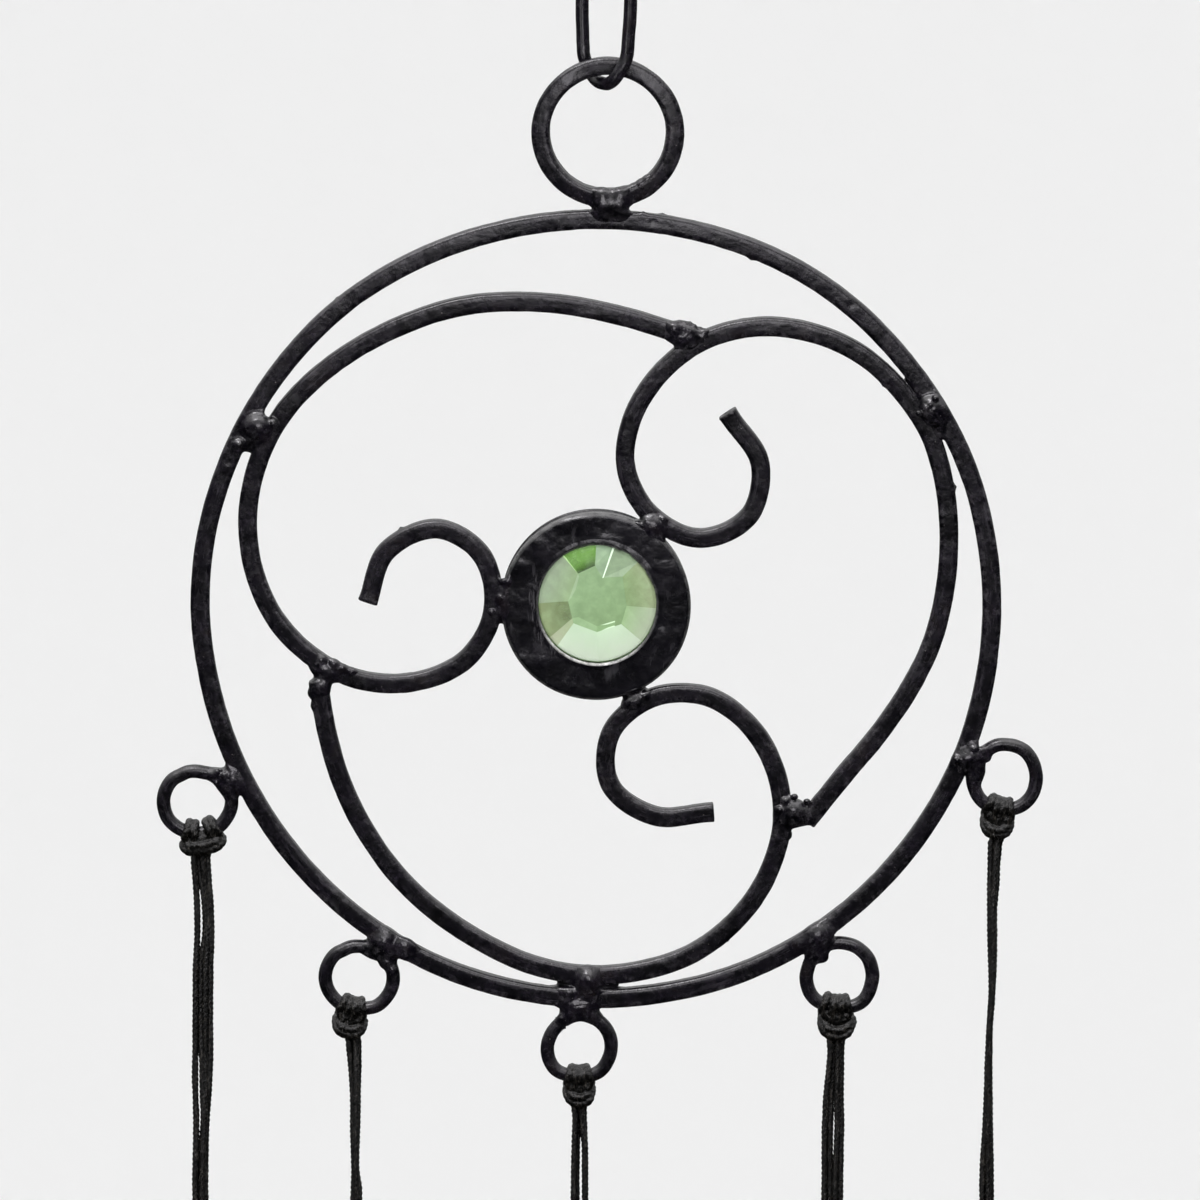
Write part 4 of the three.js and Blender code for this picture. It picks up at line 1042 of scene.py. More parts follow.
# name: drops (x, y, z, radii, slope), bars that it joins, how softly it runs into them, lumps on it, and single spatter balls (x, y, z, r)
WELDS = {
    "weld_top_ring": dict(
        drops=[(-0.35, -1.0, -53.3, (1.45, 1.35, 2.4), 0), (2.5, -0.95, -53.3, (1.45, 1.3, 2.4), 0), (1.1, -0.35, -53.7, (2.7, 1.9, 2.0), 0), (1.0, 1.1, -53.6, (2.6, 1.2, 1.9), 0)],
        joins=["hoop", "top"], run=1.2, lump=0.05,
        balls=[(-0.8, -0.6, -51.5, 0.36), (2.0, -0.8, -51.55, 0.32), (3.3, -0.5, -51.15, 0.36), (4.8, -0.4, -50.75, 0.28), (6.0, -0.4, -50.0, 0.34), (6.9, -0.5, -49.4, 0.26)]),
    "weld_hoop_left": dict(
        drops=[(-57.7, -1.3, -90.9, (2.3, 1.9, 2.3), 0), (-58.0, 0.2, -92.0, (2.2, 2.0, 3.0), 61), (-59.2, 0.3, -94.2, (1.2, 1.5, 1.2), 0)],
        joins=["hoop", "scroll_left"], run=0.8, lump=0.05, balls=[(-55.2, -1.5, -90.4, 0.9), (-60.9, -1.5, -93.9, 0.8)]),
    "weld_hoop_right": dict(
        drops=[(54.8, -1.6, -88.2, (2.6, 1.2, 2.2), -59), (54.0, 1.5, -88.2, (2.6, 1.0, 1.9), -59), (51.1, 0.5, -84.2, (1.3, 1.0, 0.5), -48),
               (52.5, 0.4, -85.9, (1.4, 1.1, 0.6), -50), (55.6, 0.0, -91.5, (1.2, 1.6, 1.6), 0)],
        joins=["hoop", "scroll_right"], run=0.7, lump=0.09, balls=[(52.25, -2.3, -88.5, 0.55), (53.5, -2.3, -87.6, 0.55), (54.25, -2.3, -87.05, 0.55), (55.1, -2.3, -86.0, 0.55)]),
    "weld_hoop_bottom": dict(
        drops=[(-2.75, -1.0, -184.6, (2.0, 2.2, 2.6), 0), (-5.9, 0.0, -186.8, (1.5, 1.7, 1.3), 0), (-4.55, 0.0, -188.8, (3.2, 1.8, 1.2), 0), (-2.8, 0.6, -185.2, (5.0, 1.4, 0.9), 0)],
        joins=["hoop", "scroll_bottom", "ring_3"], run=1.0, lump=0.05, balls=[]),
    "weld_left_to_right": dict(
        drops=[(13.0, 0.0, -76.0, (2.6, 2.0, 1.6), -12), (11.65, -1.2, -74.4, (1.0, 1.0, 1.05), 0), (14.0, -0.2, -74.6, (2.2, 1.7, 1.1), -22)],
        joins=["scroll_left", "scroll_right"], run=1.4, lump=0.13,
        balls=[(12.5, -0.6, -73.5, 0.38), (13.3, -0.9, -73.6, 0.34), (14.2, -0.6, -73.6, 0.38), (15.0, -1.0, -74.0, 0.36), (15.8, -0.7, -74.5, 0.38), (16.4, -0.9, -75.0, 0.34),
               (16.3, -1.1, -75.8, 0.42), (13.7, -1.6, -74.6, 0.34), (12.9, -1.4, -74.2, 0.32)]),
    "weld_bottom_to_left": dict(
        drops=[(-46.6, 0.0, -132.3, (2.6, 1.9, 1.7), -28), (-47.3, -0.2, -134.6, (1.6, 1.8, 1.6), 0)],
        joins=["scroll_left", "scroll_bottom"], run=1.2, lump=0.06,
        balls=[(-47.3, -0.9, -130.5, 0.85), (-45.1, -0.9, -131.0, 0.8), (-43.8, -0.9, -131.7, 0.6), (-42.2, -0.8, -132.3, 0.5), (-48.6, 0.0, -136.0, 0.8)]),
    "weld_right_to_bottom": dict(
        drops=[(31.6, -0.6, -156.2, (2.5, 2.0, 2.5), 10), (30.2, 0.2, -156.6, (1.8, 1.8, 2.4), 0), (33.5, 0.0, -157.2, (1.5, 1.7, 1.2), 0)],
        joins=["scroll_bottom", "scroll_right"], run=0.9, lump=0.08,
        balls=[(29.25, -1.6, -155.6, 0.55), (30.25, -1.6, -154.1, 0.55), (31.75, -1.6, -153.3, 0.55), (33.75, -1.6, -154.1, 0.55), (30.75, -0.4, -159.9, 0.55)]),
    "weld_bezel_left": dict(
        drops=[(-17.1, 0.0, -120.6, (1.2, 2.0, 3.6), 0)],
        joins=["scroll_left", "bezel"], run=0.8, lump=0.08, balls=[(-16.8, -1.6, -116.9, 0.5), (-17.3, -1.7, -119.6, 0.45), (-18.8, -1.6, -122.2, 0.45)]),
    "weld_bezel_bottom": dict(
        drops=[(5.0, -0.3, -137.2, (2.25, 2.0, 1.3), 17), (5.2, 0.2, -136.2, (2.0, 1.8, 1.3), 17)],
        joins=["scroll_bottom", "bezel"], run=0.9, lump=0.06, balls=[(6.75, -1.2, -136.3, 0.7)]),
    "weld_bezel_right": dict(
        drops=[(8.3, -0.3, -107.5, (2.4, 2.1, 1.8), -35), (8.0, 0.2, -109.0, (1.8, 1.8, 1.5), 0)],
        joins=["scroll_right", "bezel"], run=0.9, lump=0.07, balls=[(9.6, -1.4, -106.6, 0.55), (7.0, -1.7, -106.8, 0.5)]),
    "weld_ring_1": dict(
        drops=[(-62.6, 0.0, -151.0, (2.2, 1.9, 2.6), 20), (-64.6, -0.4, -149.9, (1.4, 1.4, 1.0), 0)],
        joins=["hoop", "ring_1"], run=1.0, lump=0.08, balls=[(-64.6, -1.3, -149.2, 0.55), (-64.8, -1.4, -151.0, 0.5), (-63.5, -1.6, -149.6, 0.5)]),
    "weld_ring_2": dict(
        drops=[(-37.2, -0.2, -178.3, (2.5, 2.0, 2.0), 57), (-38.3, 0.0, -179.4, (1.8, 1.7, 1.5), 20), (-35.6, 0.0, -179.6, (1.5, 1.6, 1.6), 0), (-33.4, -1.2, -178.9, (1.7, 1.0, 1.5), 0)],
        joins=["hoop", "ring_2"], run=1.2, lump=0.05, balls=[(-36.75, -0.6, -181.6, 0.8), (-35.4, -0.8, -182.9, 0.45)]),
    "weld_ring_3": dict(
        drops=[(-4.3, 0.0, -189.3, (2.7, 1.9, 1.4), 0), (-6.2, 0.0, -189.9, (1.2, 1.3, 1.3), 40), (-2.2, 0.0, -190.2, (1.4, 1.4, 1.2), -35)],
        joins=["hoop", "ring_3"], run=1.1, lump=0.06, balls=[(-7.1, -0.7, -190.9, 0.6), (-6.6, -0.9, -190.1, 0.5)]),
    "weld_ring_4": dict(
        drops=[(35.6, -0.8, -177.0, (2.6, 1.8, 2.0), 35), (35.0, 0.0, -179.0, (1.6, 1.6, 1.8), 0), (36.4, -0.2, -180.7, (1.0, 1.1, 1.0), 0), (33.2, -1.2, -178.0, (1.8, 1.0, 0.9), 30)],
        joins=["hoop", "ring_4"], run=1.1, lump=0.05, balls=[]),
    "weld_ring_5": dict(
        drops=[(60.6, -0.9, -146.9, (2.4, 1.5, 1.6), 20), (62.2, 0.0, -149.0, (1.3, 1.6, 2.2), 0)],
        joins=["hoop", "ring_5"], run=1.0, lump=0.07, balls=[(61.6, -1.3, -145.3, 0.7), (58.75, -1.7, -147.15, 0.7), (62.9, -1.0, -145.6, 0.55), (63.75, -0.6, -147.0, 0.6)]),
}


def bars_near(p, joins, near, reach):
    best = np.full(p.shape[:-1], 50.0)
    for j in joins:
        if j == "hoop":
            d = ring_distance(p, HOOP["x"], HOOP["z"], hoop_radius, 1.6, BAR_DEEP, 0.35)
        elif j == "top":
            d = ring_distance(p, TOP_RING["x"], TOP_RING["z"], top_ring_radius, 1.55, 1.475, 0.6)
        elif j == "bezel":
            d = ring_distance(p, BEZEL["x"], BEZEL["z"], lambda a: 13.1 + 0 * a, 2.7, 2.15, 0.4)
        elif j.startswith("ring_"):
            d = wire_distance(p, int(j[-1]) - 1)
        else:
            d = bar_distance(p, LINES[j], near, reach)
        best = soft_min(best, d, 0.5)
    return best


for seed, (name, w) in enumerate(WELDS.items()):
    every = [(d[:3], max(d[3])) for d in w["drops"]] + [(b[:3], b[3]) for b in w["balls"]]
    lo = np.min([np.array(c) - r for c, r in every], axis=0) - 1.9
    hi = np.max([np.array(c) + r for c, r in every], axis=0) + 1.9
    lo[1], hi[1] = min(lo[1], -2.6), max(hi[1], 2.6)
    h = 0.19
    size = np.ceil((hi - lo) / h).astype(int) + 1
    p = np.stack(np.meshgrid(*[lo[k] + h * np.arange(size[k]) for k in range(3)], indexing="ij"), axis=-1)
    drops = np.full(p.shape[:-1], 50.0)
    for x, y, z, radii, slope in w["drops"]:
        drops = soft_min(drops, ellipsoid_distance(p, (x, y, z), radii, slope), 0.7)
    lumps = w["lump"] * noise(p, 1.5, 500 + seed) + 0.45 * w["lump"] * noise(p, 0.7, 600 + seed)
    drops = drops + lumps * smooth_step(1.6, 0.2, np.abs(drops))
    for x, y, z, r in w["balls"]:
        wob = 0.16 * r * noise(p, 0.7 * r + 0.2, 650 + seed)
        drops = soft_min(drops, np.linalg.norm(p - np.array([x, y, z]), axis=-1) - r + wob, 0.28)
    middle = (lo + hi) / 2
    bars = bars_near(p, w["joins"], (middle[0], middle[2]), float(np.hypot(hi[0] - lo[0], hi[2] - lo[2]) / 2))
    sink = -0.02 + 0.55 * smooth_step(0.5, 2.2, drops)
    field = soft_min(drops, bars + sink, w["run"])
    edge = np.maximum.reduce([np.maximum(lo[k] + 2 * h - p[..., k], p[..., k] - (lo[k] + h * (size[k] - 3))) for k in range(3)])
    field = np.maximum(field, edge)
    v, f = surface_net(field, lo, h)
    crest = 0.30 + 0.5 * smooth_step(0.1, 0.7, noise(v, 1.1, 700 + seed))
    Shape().add(v, f, crest).build(name.replace("weld_", "weld_bead_"), WELD, "frame", "weld_iron", [name])


# ---- bezel and back washer ----------------------------------------------------------------------
def rounded_profile(points, radii, per=6):
    """A closed outline whose corners are rounded by those radii."""
    P = np.array(points, float)
    out = []
    for i in range(len(P)):
        a, b, c = P[i - 1], P[i], P[(i + 1) % len(P)]
        u, v = (a - b) / np.linalg.norm(a - b), (c - b) / np.linalg.norm(c - b)
        r = radii[i]
        if r <= 0:
            out.append(b)
            continue
        half = math.acos(max(-1, min(1, float(u @ v)))) / 2
        d = r / math.tan(half)
        mid = b + (u + v) / np.linalg.norm(u + v) * (r / math.sin(half))
        p0, p1 = b + u * d, b + v * d
        a0, a1 = math.atan2(*(p0 - mid)[::-1]), math.atan2(*(p1 - mid)[::-1])
        sweep = (a1 - a0 + math.pi) % (2 * math.pi) - math.pi
        for k in range(per):
            t = a0 + sweep * k / (per - 1)
            out.append(mid + r * np.array([math.cos(t), math.sin(t)]))
    return np.array(out)


def thicken(profile, most):
    """The outline again, with points no further apart than that."""
    out = []
    for a, b in zip(profile, np.roll(profile, -1, axis=0)):
        k = max(1, int(math.ceil(np.linalg.norm(b - a) / most)))
        out += [a + (b - a) * j / k for j in range(k)]
    return np.array(out)


bezel_profile = thicken(rounded_profile(
    [(9.86, -2.02), (10.25, -2.32), (10.9, -2.22), (15.0, -2.18), (15.6, -1.75), (15.6, 0.9), (13.9, 0.9), (13.9, -0.9), (9.95, -0.9), (9.82, -1.4)],
    [0.12, 0.12, 0.3, 0.45, 0.35, 0.25, 0.15, 0.2, 0.15, 0.1]), 0.42)


def dented(v):
    q = v * np.array([1.0, 1.0, 1.0])
    lift = 0.10 * noise(q, 6.5, 801) + 0.05 * noise(q, 2.6, 802) + 0.02 * noise(q, 0.9, 803)
    front = smooth_step(-1.0, -1.9, v[..., 1])
    out = v.copy()
    out[..., 1] += (lift - 0.10 * smooth_step(0.35, 0.7, noise(q, 4.0, 804))) * front
    rho = np.hypot(v[..., 0], v[..., 2])
    a = np.arctan2(v[..., 2], v[..., 0])
    bulge = 0.2 + 0.2 * np.cos(a - math.radians(225))
    grow = 1 + (bulge + 0.06 * noise(q, 7.0, 805)) / np.maximum(rho, 1) * smooth_step(13.0, 15.3, rho)
    # along the upper right the enamel has run over the stone's edge in small tongues
    up_right = smooth_step(0.0, 0.3, a) * smooth_step(1.5, 1.2, a) * smooth_step(10.5, 10.1, rho) * front
    tongue = up_right * np.maximum(0, 0.25 + noise(q, 0.8, 806))
    grow -= 0.14 * tongue / np.maximum(rho, 1)
    out[..., 1] -= 0.16 * tongue
    out[..., 0] *= grow
    out[..., 2] *= grow
    # the hole sits a little above the plate's middle, and stands clear of the stone below it
    hole = smooth_step(12.8, 10.7, rho)
    out[..., 0] += 0.06 * hole
    out[..., 2] += (0.32 + 0.14 * np.sin(a)) * hole
    return out


v, f = lathe_y(bezel_profile, BEZEL["x"], BEZEL["z"], 220, dented)
rho = np.tile(bezel_profile[:, 0], 220)
deg = np.repeat(np.arange(220) / 220 * 360, len(bezel_profile))
lip = smooth_step(10.3, 10.0, rho) * smooth_step(-0.9, -1.6, v[:, 1])
# the lip is worn a little all round; along the bottom of the hole it is painted much lighter as a painted highlight
lip_highlight_below_stone = 0.15 + 0.85 * smooth_step(190, 220, deg) * smooth_step(335, 280, deg)
rim = 0.12 * smooth_step(15.0, 15.6, rho) * smooth_step(0.2, -1.2, v[:, 1])
plate = Shape().add(v, f, np.maximum(lip * lip_highlight_below_stone, rim)).build("bezel_plate", BEZEL_IRON, "frame", "black_iron", ["bezel_cup"])
scratched = smooth_step(140, 160, deg) * smooth_step(240, 222, deg) * smooth_step(12.0, 11.0, rho) * smooth_step(-1.0, -1.8, v[:, 1])
plate.data.attributes.new("scratch", "FLOAT", "POINT").data.foreach_set("value", scratched.astype(np.float32))

washer_profile = thicken(rounded_profile([(8.9, 1.2), (15.6, 1.2), (15.6, 2.2), (8.9, 2.2)], [0.2, 0.3, 0.4, 0.3]), 0.45)


def washer_dents(v):
    out = v.copy()
    out[..., 1] += (0.07 * noise(v, 5.5, 821) + 0.03 * noise(v, 1.8, 822)) * smooth_step(1.6, 2.1, v[..., 1])
    rho = np.hypot(v[..., 0], v[..., 2])
    off = (0.08 + 0.30 * np.cos(np.arctan2(v[..., 2], v[..., 0]) - math.radians(145))) * smooth_step(12.0, 15.0, rho)
    out[..., 0] *= 1 + off / rho
    out[..., 2] *= 1 + off / rho
    return out


v, f = lathe_y(washer_profile, BEZEL["x"], BEZEL["z"], 180, washer_dents)
rho = np.hypot(v[:, 0] - BEZEL["x"], v[:, 2] - BEZEL["z"])
Shape().add(v, f, 0.4 * smooth_step(9.2, 8.7, rho)).build("back_washer_plate", BEZEL_IRON, "frame", "black_iron", ["back_washer"])


# ---- glass stone: an eight-sided table, crown facets, a thin girdle and a faceted back ----------
# Each facet's colour holds painted light and shade: the facet is made lighter or darker where the cut glass looks
# bright or dark.
STONE = dict(x=-1.17, z=-120.55)
# The table's corners, and the corners of the lights in it, in mm right of and above the stone's middle.
TABLE = dict(
    v1=(4.86, -0.27), v2=(4.17, 4.66), v3=(1.03, 4.49), v4=(0.81, 4.40), v5=(-0.39, 6.51), v6=(-3.26, 5.15), v7=(-4.89, 0.51), d=(-4.21, -2.38), v8=(-4.0, -3.22), v9=(-0.07, -4.7),
    v9a=(0.62, -4.47), h=(2.92, -3.71), v10=(3.96, -3.36), a=(-3.06, 4.66), b=(-3.61, 2.55), c=(-4.31, 1.14), e=(-3.19, -2.16), f=(-0.07, -3.71), f2=(0.49, -3.54), g=(2.92, -2.8),
    m1=(1.67, -3.39), g2=(2.88, -2.99), m2=(1.67, -3.95), h2=(2.78, -3.59))
# The table's panes: corners, turning from the right upwards, and colour with painted light and shade; the two palest
# panes are painted highlights, and the first one's painted shade runs from light at top left to dark at bottom right.
PANES = [
    ("v1 v2 v3 v4 v5 v6 a b c v7 d e f f2 g h v10", None), ("v6 v7 c b a", (0.293, 0.394, 0.247)), ("d v8 v9 f e", (0.26, 0.394, 0.206)),
    ("f v9 v9a m2 h2 h g g2 m1 f2", (0.219, 0.349, 0.167)), ("f2 m1 g2 g", (0.766, 0.979, 0.704)), ("v9a h h2 m2", (0.766, 0.979, 0.704)),
]
# the table's painted light at top left and its painted shade at bottom right
TABLE_PAINTED_LIGHT, TABLE_PAINTED_SHADE = (0.219, 0.332, 0.174), (0.172, 0.265, 0.125)
# The crown's facets, from the right and turning upwards: the angle where each starts, the table's corners along it, its
# colour at the table and at the rim with light and shade painted in (the palest are painted highlights), and the colour
# of a painted shadow band along the table if it has one.
FACETS = [
    (-5.0, "v1 v2", (0.180, 0.262, 0.116), (0.250, 0.295, 0.172)), (46.0, "v2 v3", (0.178, 0.248, 0.152), (0.195, 0.260, 0.168)), (73.0, "v3 v4", (0.728, 0.908, 0.696), (0.728, 0.908, 0.696)),
    (75.0, "v4 v5", (0.215, 0.305, 0.195), (0.215, 0.305, 0.202)), (91.3, "v5 v6", (0.105, 0.250, 0.038), (0.108, 0.245, 0.043), (0.006, 0.016, 0.003)),
    (124.4, "v6", (0.381, 0.602, 0.264), (0.381, 0.602, 0.264)), (126.0, "v6 v7", (0.225, 0.310, 0.168), (0.265, 0.330, 0.230)), (180.0, "v7 d", (0.122, 0.158, 0.072), (0.240, 0.295, 0.148)),
    (216.0, "d v8", (0.351, 0.418, 0.247), (0.412, 0.430, 0.315)), (227.0, "v8 v9", (0.590, 0.749, 0.557), (0.665, 0.750, 0.625)),
    (271.3, "v9 v9a h v10", (0.625, 0.785, 0.588), (0.616, 0.692, 0.575)), (319.0, "v10 v1", (0.280, 0.420, 0.210), (0.430, 0.490, 0.365)),
]
MAIN = [-5.0, 46.0, 91.3, 125.0, 180.0, 227.0, 271.3, 319.0]
# the back's pale green, scaled per facet below as painted light and shade
BACK_TINT = (0.75, 0.90, 0.68)


def stone():
    verts, faces, facet_light_paints = [], [], []

    def vert(x, y, z):
        verts.append((x + STONE["x"], y, z + STONE["z"]))
        return len(verts) - 1

    def face(corners, colours):
        faces.append(corners)
        facet_light_paints.append(colours if isinstance(colours, list) else [colours] * len(corners))

    starts = [f[0] for f in FACETS]
    table = {k: vert(x, -3.05, z) for k, (x, z) in TABLE.items()}

    def shade(k):
        # painted shade: the table runs from light at top left to dark towards bottom right
        t = float(np.clip(0.5 + (0.6 * TABLE[k][0] - TABLE[k][1]) / 11.0, 0, 1))
        return tuple(hi + (lo - hi) * t for hi, lo in zip(TABLE_PAINTED_LIGHT, TABLE_PAINTED_SHADE))

    for corners, facet_light_paint in PANES:
        corners = corners.split()[::-1]
        face([table[k] for k in corners], [facet_light_paint or shade(k) for k in corners])

    # the rim that the crown meets, as arcs between the facets' corners; it bows forward of the corners in the middle of each
    rim, wall, step, front, rear = [], [], [], [], []
    first_of = []
    for k, a in enumerate(starts):
        b = starts[k + 1] if k + 1 < len(starts) else starts[0] + 360
        lo = max(m for m in MAIN if m <= a + 1e-9)
        hi = min([m for m in MAIN if m > a + 1e-9] or [MAIN[0] + 360])
        first_of.append(len(rim))
        count = max(1, int(round((b - a) / 5.5)))
        for j in range(count):
            deg = a + (b - a) * j / count
            c, s = math.cos(math.radians(deg)), math.sin(math.radians(deg))
            bow = 4 * (deg - lo) * (hi - deg) / (hi - lo) ** 2
            rim.append(vert(9.78 * c, -2.06 + 0.20 * bow, 9.78 * s))
            wall.append(vert(9.76 * c, -0.85, 9.76 * s))
            step.append(vert(10.15 * c, -0.75, 10.15 * s))
            front.append(vert(10.15 * c, 0.35, 10.15 * s))
            rear.append(deg)
    total = len(rim)
    for k, (_, corners, near, far, *painted_shadow_band) in enumerate(FACETS):
        n = (k + 1) % len(FACETS)
        stop = first_of[n] if n else total
        arc = [rim[j % total] for j in range(first_of[k], stop + 1)]
        edge = [table[c] for c in corners.split()]
        # a painted shadow: a dark band along the table's edge, with the facet next to it painted darker
        if painted_shadow_band:
            t0, t1, r0, r1 = (np.array(verts[i]) for i in (edge[0], edge[1], arc[0], arc[-1]))
            inner = [t0 + (t1 - t0) * e + (r0 + (r1 - r0) * e - t0 - (t1 - t0) * e) * deep for e, deep in ((0.04, 0.54), (0.94, 0.34))]
            ids = [len(verts), len(verts) + 1]
            verts.extend(tuple(p) for p in inner)
            painted_band_fade = tuple(0.75 * c for c in near)
            face([edge[0], edge[1], ids[1], ids[0]], [painted_shadow_band[0], painted_shadow_band[0], painted_band_fade, painted_band_fade])
            face([edge[0], ids[0], ids[1], edge[1]] + arc[::-1], [painted_band_fade] * 4 + [far] * len(arc))
            continue
        face(edge + arc[::-1], [near] * len(edge) + [far] * len(arc))
    for j in range(total):
        n = (j + 1) % total
        for one, two in ((rim, wall), (wall, step), (step, front)):
            face([one[j], one[n], two[n], two[j]], (0.55, 0.78, 0.44))
    corner = [min(range(total), key=lambda j: abs(rear[j] - m)) for m in MAIN]
    half = [vert(6.6 * math.cos(math.radians(m + 22.5)), 1.75, 6.6 * math.sin(math.radians(m + 22.5))) for m in MAIN]
    culet = [vert(2.9 * math.cos(math.radians(m)), 2.48, 2.9 * math.sin(math.radians(m))) for m in MAIN]
    for k in range(8):
        n = (k + 1) % 8
        stop = corner[n] if n else total + corner[0]
        arc = [front[j % total] for j in range(corner[k], stop + 1)]
        # painted light and shade: each back facet's pale green is scaled lighter or darker one by one
        dark = lambda share: tuple(share * c for c in BACK_TINT)
        face(arc + [half[k]], dark((0.95, 0.55, 0.80, 0.48)[k % 4]))
        face([arc[-1], half[n], half[k]], dark((0.62, 0.90, 0.50)[k % 3]))
        face([half[k], half[n], culet[n]], dark((1.0, 0.66, 0.84)[k % 3]))
        face([half[k], culet[n], culet[k]], dark((0.58, 0.92, 0.70, 1.0)[k % 4]))
    face(culet, BACK_TINT)
    return np.array(verts), faces, facet_light_paints


verts, faces, facet_light_paints = stone()
gem = Shape().add(verts, faces).build("glass_stone_cut", GLASS, "frame", "green_glass", ["glass_stone"], flat=True)
# each facet's colour, with the light and shade of the cut glass painted in, is set on its corners
facet_light_paint_at = {}
for corners, colours in zip(faces, facet_light_paints):
    for c, t in zip(corners, colours):
        facet_light_paint_at[(frozenset(corners), c)] = t
facet_light_paint_values = []
for polygon in gem.data.polygons:
    key = frozenset(polygon.vertices)
    facet_light_paint_values += [(*facet_light_paint_at[(key, c)], 1.0) for c in polygon.vertices]
gem.data.attributes.new("facet_light_paint", "FLOAT_COLOR", "CORNER").data.foreach_set("color", np.array(facet_light_paint_values, np.float32).ravel())


# ---- bells --------------------------------------------------------------------------------------
BELL_OUT = [(1.32, 0.0), (2.2, 0.0), (2.35, 0.22), (2.9, 0.30), (4.3, 0.52), (5.6, 1.25), (6.4, 2.4), (6.8, 3.7), (7.02, 5.6), (7.08, 5.9), (6.92, 6.1), (6.95, 6.45), (7.14, 6.6),
            (7.2, 7.2), (7.04, 7.4), (7.07, 7.75), (7.26, 7.9), (7.5, 9.6), (7.75, 11.8), (8.1, 14.4), (8.5, 16.6), (8.72, 17.5), (8.96, 17.8), (9.02, 18.2), (8.94, 18.6), (9.05, 19.2),
            (9.5, 20.9), (10.15, 22.6), (10.8, 23.7), (11.0, 24.1), (11.0, 24.4), (10.8, 24.6)]
BELL_IN = [(10.2, 24.6), (9.9, 24.35), (9.3, 22.9), (8.5, 20.6), (7.8, 18.4), (7.15, 15.6), (6.7, 13.0), (6.32, 10.0), (6.0, 7.2), (5.7, 5.0), (5.2, 3.2), (4.4, 2.2), (3.2, 1.75), (1.2, 1.6), (1.05, 1.45), (1.05, 0.25)]


def wire_eye(centre, radius, plane, start, sweep, count=26):
    """Points round an eye in the XZ or YZ plane, from an angle (0 is +X or +Y, 90 is up)."""
    out = []
    for k in range(count + 1):
        a = math.radians(start + sweep * k / count)
        u, w = radius * math.cos(a), radius * math.sin(a)
        out.append((centre[0] + (u if plane == "xz" else 0), centre[1] + (u if plane == "yz" else 0), centre[2] + w))
    return out


def refine(points, most):
    out = []
    for a, b in zip(points[:-1], points[1:]):
        k = max(1, int(math.ceil(math.dist(a, b) / most)))
        out += [tuple(np.array(a) + (np.array(b) - np.array(a)) * j / k) for j in range(k)]
    return out + [points[-1]]


